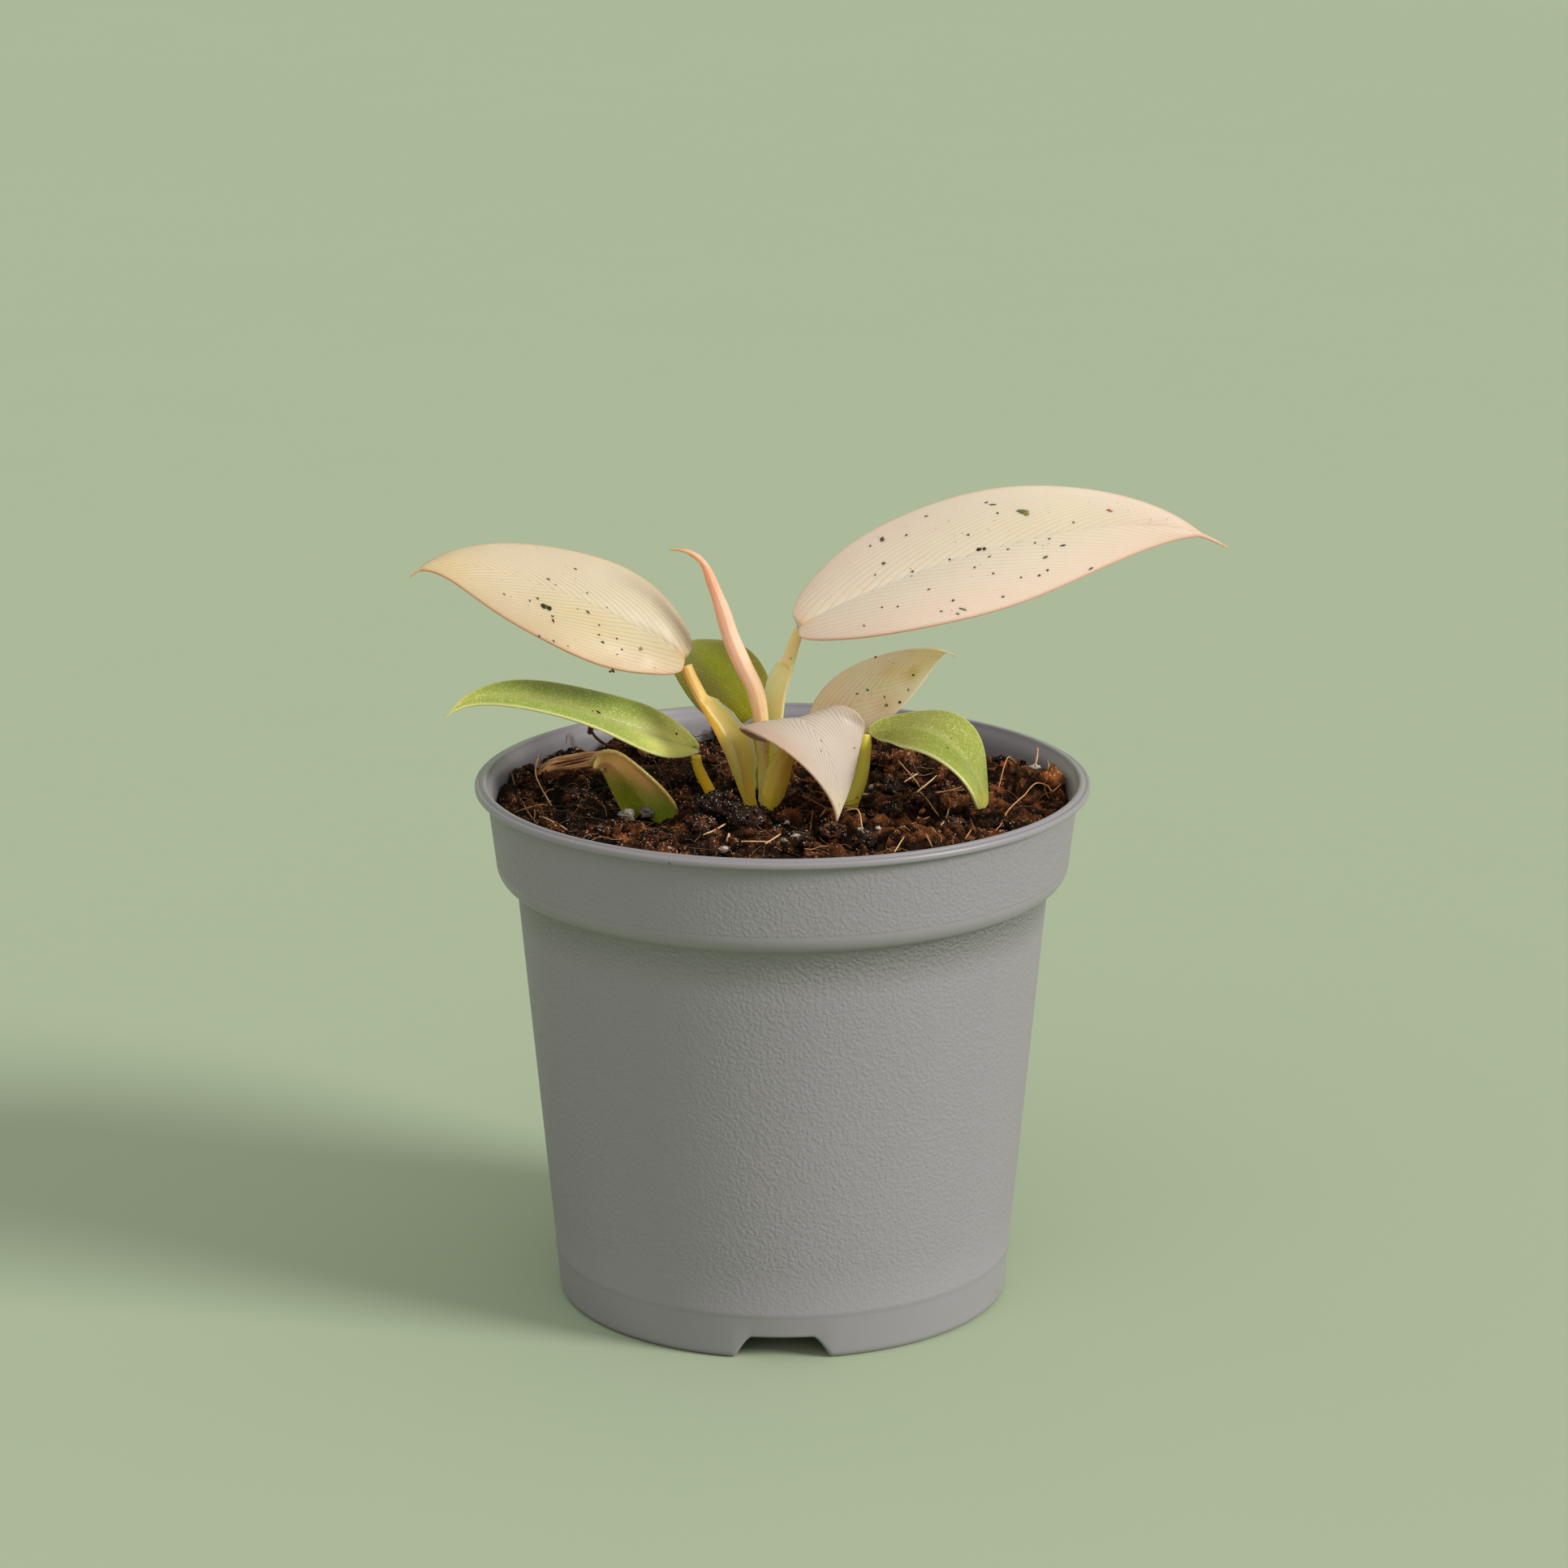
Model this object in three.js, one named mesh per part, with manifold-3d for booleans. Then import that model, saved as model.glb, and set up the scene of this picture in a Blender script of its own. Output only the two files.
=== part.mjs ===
// A young philodendron with pale leaves, potted in a grey plastic nursery pot.
// Units are millimetres and +Z is up. The origin is the centre of the pot's base on the surface it stands on,
// +X is to the right of the plant and -Y is its front.
import * as THREE from "three";
import { mergeVertices } from "three/addons/utils/BufferGeometryUtils.js";
import Module from "manifold-3d";

const wasm = await Module();
wasm.setup();

// Pot
const RIM_RADIUS = 60;
const RIM_HEIGHT = 104.2;
const LIP_DEPTH = 1.8;
const LIP_WIDTH = 2.3;
const COLLAR_RADIUS_TOP = 57.7;
const COLLAR_RADIUS_LOW = 56;
const COLLAR_LOW = 88.2;
const BODY_RADIUS_TOP = 52.1;
const BODY_TOP = 84.3;
const BODY_RADIUS_LOW = 45.1;
const GRAIN_LINE_HEIGHT = 9.2;
const GRAIN_LINE_RELIEF = 0.18;
const GRAIN_LINE_WIDTH = 0.35;
const FOOT_RADIUS = 42.9;
const FOOT_ROUND = 1.6;
const FOOT_WALL = 1.7;
const FOOT_FILLET = 1.4;
const WALL = 1.15;
const FLOOR_UNDERSIDE = 4.6;
const FLOOR_TOP = 5.9;
const FLOOR_FILLET = 1.5;
const PAD_RADIUS = 7;
const PAD_FLARE = 0.8;
const LIP_ROUND = 0.45;
const POT_SEGMENTS = 54;

// Round corners of the pot's profile, each from one angle to another in degrees, and in how many steps
const FOOT_ARC = [-90, -5, 3];
const BULL_ARC = [-80, 0, 4];
const BULL_INSIDE_ARC = [-30, -75, 1];

// Drainage notches in the foot: one faces the front
const NOTCH_COUNT = 3;
const NOTCH_WIDTH_TOP = 12;
const NOTCH_WIDTH_FOOT = 18.5;
const NOTCH_HEIGHT = 4.3;
const NOTCH_REACH = 8;
const NOTCH_SHOULDER = 0.4;
const NOTCH_SHOULDER_HEIGHT = 0.8;
const NOTCH_BELOW = 1;
const NOTCH_STEPS = 3;

// Drain holes in the raised floor
const DRAIN_COUNT = 6;
const DRAIN_RADIUS = 3;
const DRAIN_CIRCLE = 27;
const DRAIN_SIDES = 12;
const DRAIN_CUT = 3 * (FLOOR_TOP - FLOOR_UNDERSIDE);

// Potting mix
const MIX_LEVEL = 98.6;
const MIX_GAP = 0.3;
const MIX_SIDE_GAP = 3 * MIX_GAP;
const MIX_WAVES = [[0.7, 0.21, 0.17, 1.3], [0.5, 0.31, 0.43, 0.2], [0.45, -0.62, 0.55, 2.1]];
const MIX_EDGE = 6;
const MIX_EDGE_RELIEF = 0.4;
const MIX_RINGS = 13;
const MIX_SEGMENTS = 40;
const HOLE_CLEARANCE = 0.35;
const YOUNG_SOCKET_RADIUS = 4.2;
const YOUNG_SOCKET_DEPTH = 2.6;
const YOUNG_SOCKET_SIDES = 12;

// Leaves
const BLADE_THICKNESS = 0.7;
const BLADE_ROWS = 14;
const BLADE_COLUMNS = 8;
const BLADE_FIRST = 0.012;
const BLADE_LAST = 0.985;
const LOBE_SHARE = 0.035;
const TIP_POWER = 0.7;
const END_SHARE = 1e-6;
const NORMAL_STEP = 0.004;
const STEM_SIDES = 10;
const STEM_ROWS = 12;

// Each blade hangs on its rib, five control points from the base to the tip. side0 and side1 point across the
// blade at base and tip, half is its half width, a and b round its outline at the base and the tip, fold0 and
// fold1 are the V of its halves in degrees, curl bends the margins down, lobe is how far the base lobes reach
// back, and tail and tau are the half width and the share of the drip tip.
const LEAVES = {
  left_leaf: {
    rib: [[-18.6, -0.9, 127.7], [-29.9, -4, 139], [-44.3, -6.2, 141.9],
      [-64.8, -8.7, 154.9], [-71.7, -12.7, 146.3]],
    side0: [0.15, 0.67, 0.72], side1: [0.2, 0.88, 0.43],
    half: 12.3, a: 0.6, b: 0.96, fold0: 18, fold1: -2, curl: 0.27, lobe: 1, tau: 0.05, tail: 1.6,
    colour: 0xe8dcae,
  },
  right_leaf: {
    rib: [[2.6, -1.2, 134.2], [22.9, -2.9, 146], [43.2, -6.3, 152.4],
      [70.8, -8.2, 162.9], [86, -10, 151.3]],
    side0: [0.17, -0.85, -0.51], side1: [-0.19, -0.52, -0.83],
    half: 15.5, a: 0.62, b: 1.08, fold0: 27, fold1: 3, curl: 0.27, lobe: 1.2, tau: 0.07, tail: 2.7,
    colour: 0xeed3be,
  },
  low_left_leaf: {
    rib: [[-15.8, 3, 108.8], [-32.5, -0.2, 114.1], [-42, -7.6, 121.9],
      [-58.3, -7.6, 127.4], [-65.3, -13.4, 118.7]],
    side0: [-0.72, 0.03, 0.69], side1: [-0.94, 0.26, 0.22],
    half: 7, a: 0.8, b: 1.32, fold0: 24, fold1: 10, curl: 0.14, lobe: 0.1, tau: 0.01, tail: 1.8,
    colour: 0x8aa04a,
  },
  back_leaf: {
    rib: [[-5.6, 6.4, 114.1], [-7.5, 5.3, 117.4], [-18.2, 9.7, 132.2],
      [-21.2, 22.7, 125.3], [-15.6, 33.8, 123.2]],
    side0: [0.98, -0.08, 0.19], side1: [1, 0.01, 0.09],
    half: 7.7, a: 0.4, b: 1, fold0: -2, fold1: 7, curl: 0.1, lobe: 0.2, tau: 0.06, tail: 1,
    colour: 0x7c8a2c,
  },
  rear_right_leaf: {
    rib: [[7.5, 7.8, 110.3], [11, 7.8, 117.5], [24.2, 4.5, 121.6],
      [30.9, 0.4, 133.3], [33.6, -1.9, 128.1]],
    side0: [0.62, -0.32, -0.72], side1: [0.62, -0.31, -0.72],
    half: 6.7, a: 0.51, b: 1.03, fold0: 16, fold1: 5, curl: 0.1, lobe: 0.7, tau: 0.07, tail: 0.7,
    colour: 0xdccfa6,
  },
  front_leaf: {
    rib: [[3.7, -1.5, 115.1], [2.1, -4.1, 118.5], [3.4, -11, 119.2],
      [12.6, -15.5, 113.6], [10.3, -20.2, 100.2]],
    side0: [-0.87, -0.48, -0.12], side1: [-0.41, -0.59, 0.69],
    half: 13.4, a: 0.53, b: 1.35, fold0: 4, fold1: 2, curl: 0.14, lobe: 0.5, tau: 0.01, tail: 2.3,
    colour: 0xe6d6c8,
  },
  low_right_leaf: {
    rib: [[16.2, 0.1, 113.6], [27.1, -1.2, 113.6], [27.8, -9.8, 121.5],
      [40.4, -14.4, 107.7], [38.2, -15.1, 101.6]],
    side0: [-0.82, -0.12, -0.56], side1: [-0.19, -0.81, 0.56],
    half: 10.4, a: 0.89, b: 0.42, fold0: 9, fold1: 5, curl: 0.13, lobe: 0, tau: 0.01, tail: 1.2,
    colour: 0x8ea850,
  },
  young_leaf: {
    rib: [[-22.7, -9.1, 95.4], [-26, -11.3, 103.2], [-31.5, -12.1, 108],
      [-32.6, -12.3, 113.9], [-36.7, -12.7, 109.2]],
    side0: [-0.8, 0.34, -0.49], side1: [0.06, 0.69, -0.72],
    half: 6.1, a: 0.35, b: 0.49, fold0: 9, fold1: 15, curl: 0.28, lobe: 0.2, tau: 0.01, tail: 0.8,
    colour: 0x6f7c22,
  },
};

// Each petiole follows its path from the rootstock to its blade. open points out of its channel, and each row
// of form is a share of its length with the half width, the half depth, how hollow the channel is and how far
// its wings curl round, so a sheath is a wide hollow row and a stalk is a narrow, nearly round one.
const PETIOLES = {
  left_leaf: {
    path: [[-5.4, -3.2, 95.4], [-6, -3.2, 98.8], [-7.5, -3.2, 103.3], [-8.7, -3.2, 106.7],
      [-10.3, -3.2, 110.8], [-12.6, -3, 115.4], [-15.8, -2.2, 120.9], [-17.8, -1.5, 124.8],
      [-18.6, -0.9, 126.7]],
    open: [0.8, -0.55, 0.2],
    form: [[0, 1, 1, 0, 0], [0.13, 1.4, 1.25, 0.6, 0.3], [0.25, 2.1, 1.3, 1, 0.8],
      [0.36, 2.9, 1.3, 1.2, 1.1], [0.48, 3.2, 1.3, 1.25, 1.2], [0.62, 2.5, 1.3, 1.2, 1.2],
      [0.74, 2, 1.3, 1, 0.9], [0.81, 1.35, 1.3, 0.3, 0.1], [1, 1.25, 1.2, 0.2, 0]],
    colour: 0xb8963a,
  },
  right_leaf: {
    path: [[-3.6, 1.9, 95.4], [-3.4, 1.6, 98], [-2.7, 1.5, 103.3], [-2.2, 1.4, 109.2],
      [-1.5, 1.2, 115.8], [-0.8, 1, 121.4], [0.3, 0.8, 125], [1.5, 0.3, 128.7], [2.4, -0.3, 131.6],
      [3.3, -0.9, 134.1]],
    open: [-0.6, -0.78, 0.1],
    form: [[0, 1, 1, 0, 0], [0.1, 1.6, 1.3, 0.7, 0.2], [0.22, 2.1, 1.35, 1, 0.4],
      [0.37, 2.5, 1.35, 1.15, 0.5], [0.7, 2.4, 1.3, 1.15, 0.5], [0.78, 2.1, 1.3, 1, 0.4],
      [0.81, 1.4, 1.25, 0.3, 0], [0.92, 1.15, 1.1, 0.2, 0], [1, 1, 0.95, 0.2, 0]],
    colour: 0xcaa85c,
  },
  front_leaf: {
    path: [[-2.6, -3.4, 95.4], [-2.4, -3.4, 98.9], [-1.6, -3.4, 101.7], [-0.8, -3.2, 104.6],
      [0.1, -2.8, 107.4], [1.4, -2.3, 110], [3.2, -1.7, 113.6]],
    open: [-0.5, 0.85, 0.2],
    form: [[0, 1.1, 1, 0, 0], [0.18, 1.7, 1.2, 0.5, 0.1], [0.34, 2.8, 1.25, 1.1, 0.3],
      [0.5, 2.9, 1.25, 1.15, 0.3], [0.68, 2.5, 1.2, 1, 0.3], [0.84, 1.4, 1.1, 0.4, 0],
      [1, 1.1, 1, 0.2, 0]],
    colour: 0xb48a40,
  },
  back_leaf: {
    path: [[-5, 4.9, 95.4], [-5, 5.1, 100], [-5.2, 5.8, 106], [-5.5, 6.4, 113.6]],
    open: [0, -0.9, 0.2],
    form: [[0, 1, 1, 0, 0], [0.3, 1.5, 1.1, 0.7, 0.2], [0.7, 1.5, 1.1, 0.7, 0.2],
      [0.9, 1.1, 1, 0.2, 0], [1, 1, 1, 0.2, 0]],
    colour: 0x9aa03c,
  },
  low_left_leaf: {
    path: [[-10.3, 1.7, 92.6], [-12, 2.3, 95.6], [-13.3, 2.6, 98.9], [-14.4, 2.8, 101.3],
      [-15.5, 3, 103.4], [-16.5, 3, 105.7], [-16.8, 3, 107.6]],
    open: [0.5, 0.2, 0.8],
    form: [[0, 1.1, 1.1, 0, 0], [0.3, 1.4, 1.25, 0.3, 0], [0.7, 1.35, 1.25, 0.3, 0],
      [1, 1.1, 1.05, 0.2, 0]],
    colour: 0xa8942c,
  },
  low_right_leaf: {
    path: [[13, -2.3, 94.9], [13.3, -2.2, 99.1], [14.5, -2, 102.3], [15.3, -1.6, 105],
      [15.7, -1, 108.1], [16, -0.5, 110.7], [16.2, -0.1, 112.8]],
    open: [-0.4, 0.8, 0.3],
    form: [[0, 1.1, 1.1, 0, 0], [0.25, 1.6, 1.3, 0.5, 0.1], [0.6, 1.6, 1.3, 0.6, 0.2],
      [0.85, 1.4, 1.1, 0.3, 0], [1, 1.1, 1, 0.2, 0]],
    colour: 0xa09a34,
  },
  rear_right_leaf: {
    path: [[11.6, 0.8, 94.9], [11, 2.6, 99.5], [9.8, 4.6, 104], [8.3, 6.6, 107.6], [7.5, 7.7, 109.8]],
    open: [0.3, -0.8, 0.4],
    form: [[0, 1, 1, 0, 0], [0.3, 1.3, 1.1, 0.5, 0.1], [0.7, 1.2, 1.1, 0.4, 0], [1, 0.9, 0.9, 0.2, 0]],
    colour: 0xb0a24a,
  },
};

// The rolled new leaf rises from the crown inside the right leaf's sheath, as a form of full rows
const SPEAR = {
  path: [[-3.8, -0.2, 95.4], [-3.7, -0.3, 98.5], [-3.8, -0.5, 103.8], [-3.9, -0.8, 109.8],
    [-4.2, -1.4, 115.7], [-5.4, -2, 122.2], [-7.7, -2, 127], [-10.1, -2, 132.7], [-11.9, -2, 138.6],
    [-13.5, -2, 143.1], [-15.3, -2.3, 147.4], [-17.5, -2.6, 149.4], [-19.7, -3, 150.2],
    [-21.7, -3.2, 150.3]],
  open: [1, 0, 0],
  form: [[0, 0.8, 0.8, 0, 0], [0.14, 1, 1, 0, 0], [0.3, 1.5, 1.4, 0, 0], [0.42, 1.85, 1.6, 0, 0],
    [0.55, 1.9, 1.7, 0, 0], [0.68, 1.6, 1.5, 0, 0], [0.8, 1.1, 1.05, 0, 0], [0.9, 0.65, 0.6, 0, 0],
    [1, 0.2, 0.2, 0, 0]],
  colour: 0xe0a888,
};

// Rootstocks: a short buried stem with roots from a seeded rule
const ROOTSTOCKS = {
  main_rootstock: {
    foot: [-4.1, 0.4, 77], radius: 5.6, height: 17.9, roots: 7, turn: [0, 360],
    fall: [34, 52], spread: [12, 30], seed: 11, colour: 0xc9b27a,
  },
  offset_rootstock: {
    foot: [13, -0.9, 84], radius: 3.4, height: 10.4, roots: 3, turn: [-75, 75],
    fall: [3, 12], spread: [20, 30], seed: 5, colour: 0xc9b27a,
  },
  young_rootstock: {
    foot: [-21.2, -7.6, 85], radius: 3, height: 9.3, roots: 2, turn: [150, 250],
    fall: [4, 12], spread: [16, 24], seed: 7, colour: 0xc9b27a,
  },
};
const ROOT_RADIUS = 0.95;
const ROOT_TIP_RADIUS = 0.45;
const ROOT_SIDES = 5;
const ROOT_ROWS = 5;
const ROOT_START = [0.25, 0.65];
const ROOT_TURN_START = 0.25;
const ROOT_TURN_SPAN = 0.5;
const ROOT_INSET = 0.4;
const ROOT_SWAY = 2.5;
const ROOT_COURSE = [[0.2, 0.12, 0.3], [0.6, 0.5, -0.6], [1, 1, 1]];
const ROOTSTOCK_OUTLINE = [[0.5, 0], [0.85, 0.25], [0.92, 0.5], [1, 0.75], [0.96, 1]];
const ROOTSTOCK_SIDES = 16;
const ROOTSTOCK_HEADROOM = 3;

// Coarse husk chip that lies half sunk in the mix behind the left side
const CHIP_PLACE = [-41.4, 22, 100];
const CHIP_TURN = 14;
const CHIP_TILT = -8;
const CHIP_DEPTH = 6;
const CHIP_OUTLINE = [
  [-7, -2.4], [-2.4, -3.2], [3, -3], [7, -2], [7.6, 0.8], [5.4, 2.3], [0.5, 2.6], [-4.6, 1.9], [-6.8, 0],
];

// Lumps of the mix: x, y, height and radius of each clod that stands out of the level surface
const CLODS = [
  [-12.5, -11, 2.6, 5.5], [-7, -13.5, 2.2, 4.5], [-17, -3.5, 1.4, 5], [4, -9, 1.3, 6], [12, -16, 1.6, 6],
  [23, -6, 1.4, 7], [32, -21, 1.2, 8], [40, 12, 1.8, 9], [-38, -8, 1.2, 8], [-33, 15, 1.5, 8],
  [-8, 24, 1.8, 10], [17, 27, 1.6, 9], [-22, -30, 1, 8], [2, -32, 1.2, 8], [46, -8, 1, 7], [-2, 42, 1.2, 8],
];

// Colours and roughness
const PLASTIC_GREY = 0x96968f;
const PLASTIC_ROUGHNESS = 0.55;
const ROOT_ROUGHNESS = 0.7;
const PLANT_ROUGHNESS = 0.42;
const HUSK_BROWN = 0x6b4022;
const SOIL_BROWN = 0x2c1a12;
const SOIL_ROUGHNESS = 0.95;

const MERGE_DISTANCE = 1e-4;
const UP = new THREE.Vector3(0, 0, 1);
const vector = (p) => new THREE.Vector3(p[0], p[1], p[2]);
const mix = (x, y, t) => x + (y - x) * t;
const smooth = (t) => t * t * (3 - 2 * t);

// A repeatable draw between 0 and 1
function seeded(seed) {
  let state = seed >>> 0;
  return () => {
    state = (state * 1664525 + 1013904223) >>> 0;
    return state / 4294967296;
  };
}

// A Bezier curve of any number of control points
class RibCurve extends THREE.Curve {
  constructor(points) {
    super();
    this.points = points.map(vector);
  }

  getPoint(t, target = new THREE.Vector3()) {
    let points = this.points.map((p) => p.clone());
    while (points.length > 1) {
      points = points.slice(1).map((p, i) => points[i].clone().lerp(p, t));
    }
    return target.copy(points[0]);
  }
}

// A closed geometry from its corners and triangles, turned so that its faces point out
function closedGeometry(corners, triangles) {
  let volume = 0;
  for (const [a, b, c] of triangles) {
    volume += corners[a].dot(corners[b].clone().cross(corners[c]));
  }
  const geometry = new THREE.BufferGeometry().setFromPoints(corners);
  geometry.setIndex(triangles.flatMap(([a, b, c]) => (volume < 0 ? [a, c, b] : [a, b, c])));
  geometry.computeVertexNormals();
  return geometry;
}

// A loft through closed rings of equally many points, with a fan at each end
function loft(rings) {
  const count = rings[0].length;
  const corners = rings.flat();
  const triangles = [];
  for (let i = 0; i + 1 < rings.length; i++) {
    for (let j = 0; j < count; j++) {
      const a = i * count + j;
      const b = i * count + ((j + 1) % count);
      triangles.push([a, b, b + count], [a, b + count, a + count]);
    }
  }
  for (const [ring, start, out] of [[rings[0], 0, false], [rings.at(-1), corners.length - count, true]]) {
    const middle = ring.reduce((sum, p) => sum.add(p), new THREE.Vector3()).divideScalar(count);
    const hub = corners.push(middle) - 1;
    for (let j = 0; j < count; j++) {
      const a = start + j;
      const b = start + ((j + 1) % count);
      triangles.push(out ? [a, b, hub] : [b, a, hub]);
    }
  }
  return closedGeometry(corners, triangles);
}

// Half width of a blade at share s of its rib: a rounded outline joined to a narrow drip tip
function bladeHalfWidth(leaf, s) {
  const top = leaf.a / (leaf.a + leaf.b);
  const t = Math.min(Math.max(s / (1 - leaf.tau), END_SHARE), 1 - END_SHARE);
  const body = leaf.half * (t / top) ** leaf.a * ((1 - t) / (1 - top)) ** leaf.b;
  const tip = leaf.tail * Math.max(1 - s, 0) ** TIP_POWER * s;
  return Math.cbrt(body ** 3 + tip ** 3);
}

// Point of a blade's middle surface: s runs from base to tip and u from margin to margin, -1 to 1
function bladePoint(leaf, curve, s, u) {
  const along = curve.getTangentAt(s);
  const side = vector(leaf.side0).normalize().lerp(vector(leaf.side1).normalize(), s);
  side.addScaledVector(along, -side.dot(along)).normalize();
  const normal = side.clone().cross(along);
  const half = bladeHalfWidth(leaf, s);
  const fold = THREE.MathUtils.degToRad(mix(leaf.fold0, leaf.fold1, s));
  const back = leaf.lobe * (s / LOBE_SHARE) * Math.exp(1 - s / LOBE_SHARE) * Math.abs(u);
  return curve.getPointAt(s)
    .addScaledVector(side, half * Math.cos(fold) * u)
    .addScaledVector(normal, half * Math.sin(fold) * Math.abs(u) - leaf.curl * half * u * u)
    .addScaledVector(along, -back);
}

// A blade: its middle surface thickened to both faces, each split into the same triangles. grow thickens it
// for the slit that it stands in.
function bladeGeometry(leaf, grow = 0) {
  const curve = new RibCurve(leaf.rib);
  const away = BLADE_THICKNESS / 2 + grow;
  const columns = BLADE_COLUMNS + 1;
  const faces = [[], []];
  for (let i = 0; i <= BLADE_ROWS; i++) {
    const s = mix(BLADE_FIRST, BLADE_LAST, 0.5 - 0.5 * Math.cos((Math.PI * i) / BLADE_ROWS));
    for (let j = 0; j < columns; j++) {
      const u = (2 * j) / BLADE_COLUMNS - 1;
      const at = (ds, du) => bladePoint(leaf, curve, s + ds, u + du);
      const across = at(0, NORMAL_STEP).sub(at(0, -NORMAL_STEP));
      const along = at(NORMAL_STEP, 0).sub(at(-NORMAL_STEP, 0));
      const normal = across.cross(along).normalize();
      const middle = at(0, 0);
      faces[0].push(middle.clone().addScaledVector(normal, away));
      faces[1].push(middle.addScaledVector(normal, -away));
    }
  }
  const under = faces[0].length;
  const triangles = [];
  const quad = (a, b, c, d) => triangles.push([a, b, c], [a, c, d]);
  for (let i = 0; i < BLADE_ROWS; i++) {
    for (let j = 0; j < BLADE_COLUMNS; j++) {
      const a = i * columns + j;
      const far = a + columns;
      triangles.push([a, a + 1, far + 1], [a, far + 1, far]);
      triangles.push([under + a, under + far + 1, under + a + 1], [under + a, under + far, under + far + 1]);
    }
    const left = i * columns;
    const right = left + columns - 1;
    quad(left, left + columns, under + left + columns, under + left);
    quad(right + columns, right, under + right, under + right + columns);
  }
  for (let j = 0; j < BLADE_COLUMNS; j++) {
    const last = BLADE_ROWS * columns + j;
    quad(j + 1, j, under + j, under + j + 1);
    quad(last, last + 1, under + last + 1, under + last);
  }
  return closedGeometry([...faces[0], ...faces[1]], triangles);
}

// The row of a form table at share s, eased between its neighbours
function formAt(form, s) {
  const next = form.findIndex((row) => row[0] >= s);
  if (next <= 0) return form[0].slice(1);
  const [low, high] = [form[next - 1], form[next]];
  const t = smooth((s - low[0]) / (high[0] - low[0]));
  return low.slice(1).map((value, k) => mix(value, high[k + 1], t));
}

// A petiole, spear or stem hole: rings square to its path, a crescent where it is hollow. grow widens it and
// fills its channel, for the hole that it stands in.
function stemGeometry({ path, open, form }, grow = 0) {
  const curve = new THREE.CatmullRomCurve3(path.map(vector));
  const rings = [];
  for (let i = 0; i <= STEM_ROWS; i++) {
    const s = i / STEM_ROWS;
    const along = curve.getTangentAt(s);
    const front = vector(open).normalize();
    front.addScaledVector(along, -front.dot(along)).normalize();
    const side = along.clone().cross(front);
    const [width, depth, hollow, cup] = formAt(form, s);
    const past = i === 0 ? -grow : i === STEM_ROWS ? grow : 0;
    const centre = curve.getPointAt(s).addScaledVector(along, past);
    const ring = [];
    for (let k = 0; k < STEM_SIDES; k++) {
      const angle = (2 * Math.PI * k) / STEM_SIDES;
      const inward = Math.cos(angle) > 0 && grow === 0 ? 1 - hollow : 1;
      const reach = (depth + grow) * Math.cos(angle) * inward + cup * width * Math.sin(angle) ** 2;
      const aside = (width + grow) * Math.sin(angle);
      ring.push(centre.clone().addScaledVector(front, reach).addScaledVector(side, aside));
    }
    rings.push(ring);
  }
  return loft(rings);
}

// manifold-3d solids, for joins and cuts
function toSolid(geometry) {
  const bare = geometry.clone();
  bare.deleteAttribute("normal");
  bare.deleteAttribute("uv");
  const merged = mergeVertices(bare, MERGE_DISTANCE);
  return new wasm.Manifold(new wasm.Mesh({
    numProp: 3,
    vertProperties: merged.attributes.position.array,
    triVerts: new Uint32Array(merged.index.array),
  }));
}

function toGeometry(solid) {
  const mesh = solid.getMesh();
  const geometry = new THREE.BufferGeometry();
  geometry.setAttribute("position", new THREE.BufferAttribute(new Float32Array(mesh.vertProperties), 3));
  geometry.setIndex(new THREE.BufferAttribute(new Uint32Array(mesh.triVerts), 1));
  geometry.computeVertexNormals();
  return geometry;
}

const joined = (solids) => solids.reduce((sum, solid) => sum.add(solid));

// A lathe about Z from a profile of radius and height
function turned(profile, segments) {
  const points = profile.map(([r, z]) => new THREE.Vector2(r, z));
  return new THREE.LatheGeometry(points, segments).rotateX(Math.PI / 2);
}

// Points of a round corner from one angle to another, in degrees
function arc(centreR, centreZ, radius, from, to, steps) {
  return Array.from({ length: steps + 1 }, (_, i) => {
    const angle = THREE.MathUtils.degToRad(mix(from, to, i / steps));
    return [centreR + radius * Math.cos(angle), centreZ + radius * Math.sin(angle)];
  });
}

// Radius of the pot's outside at a height on the tapered body
const bodyRadius = (z) =>
  mix(BODY_RADIUS_LOW, BODY_RADIUS_TOP, (z - GRAIN_LINE_HEIGHT) / (BODY_TOP - GRAIN_LINE_HEIGHT));

// Radius of the pot's inside at a height
function innerRadius(z) {
  if (z <= BODY_TOP - WALL) return bodyRadius(z) - WALL;
  const share = (z - COLLAR_LOW) / (RIM_HEIGHT - LIP_DEPTH - COLLAR_LOW);
  return mix(COLLAR_RADIUS_LOW, COLLAR_RADIUS_TOP, share) - WALL;
}

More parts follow.
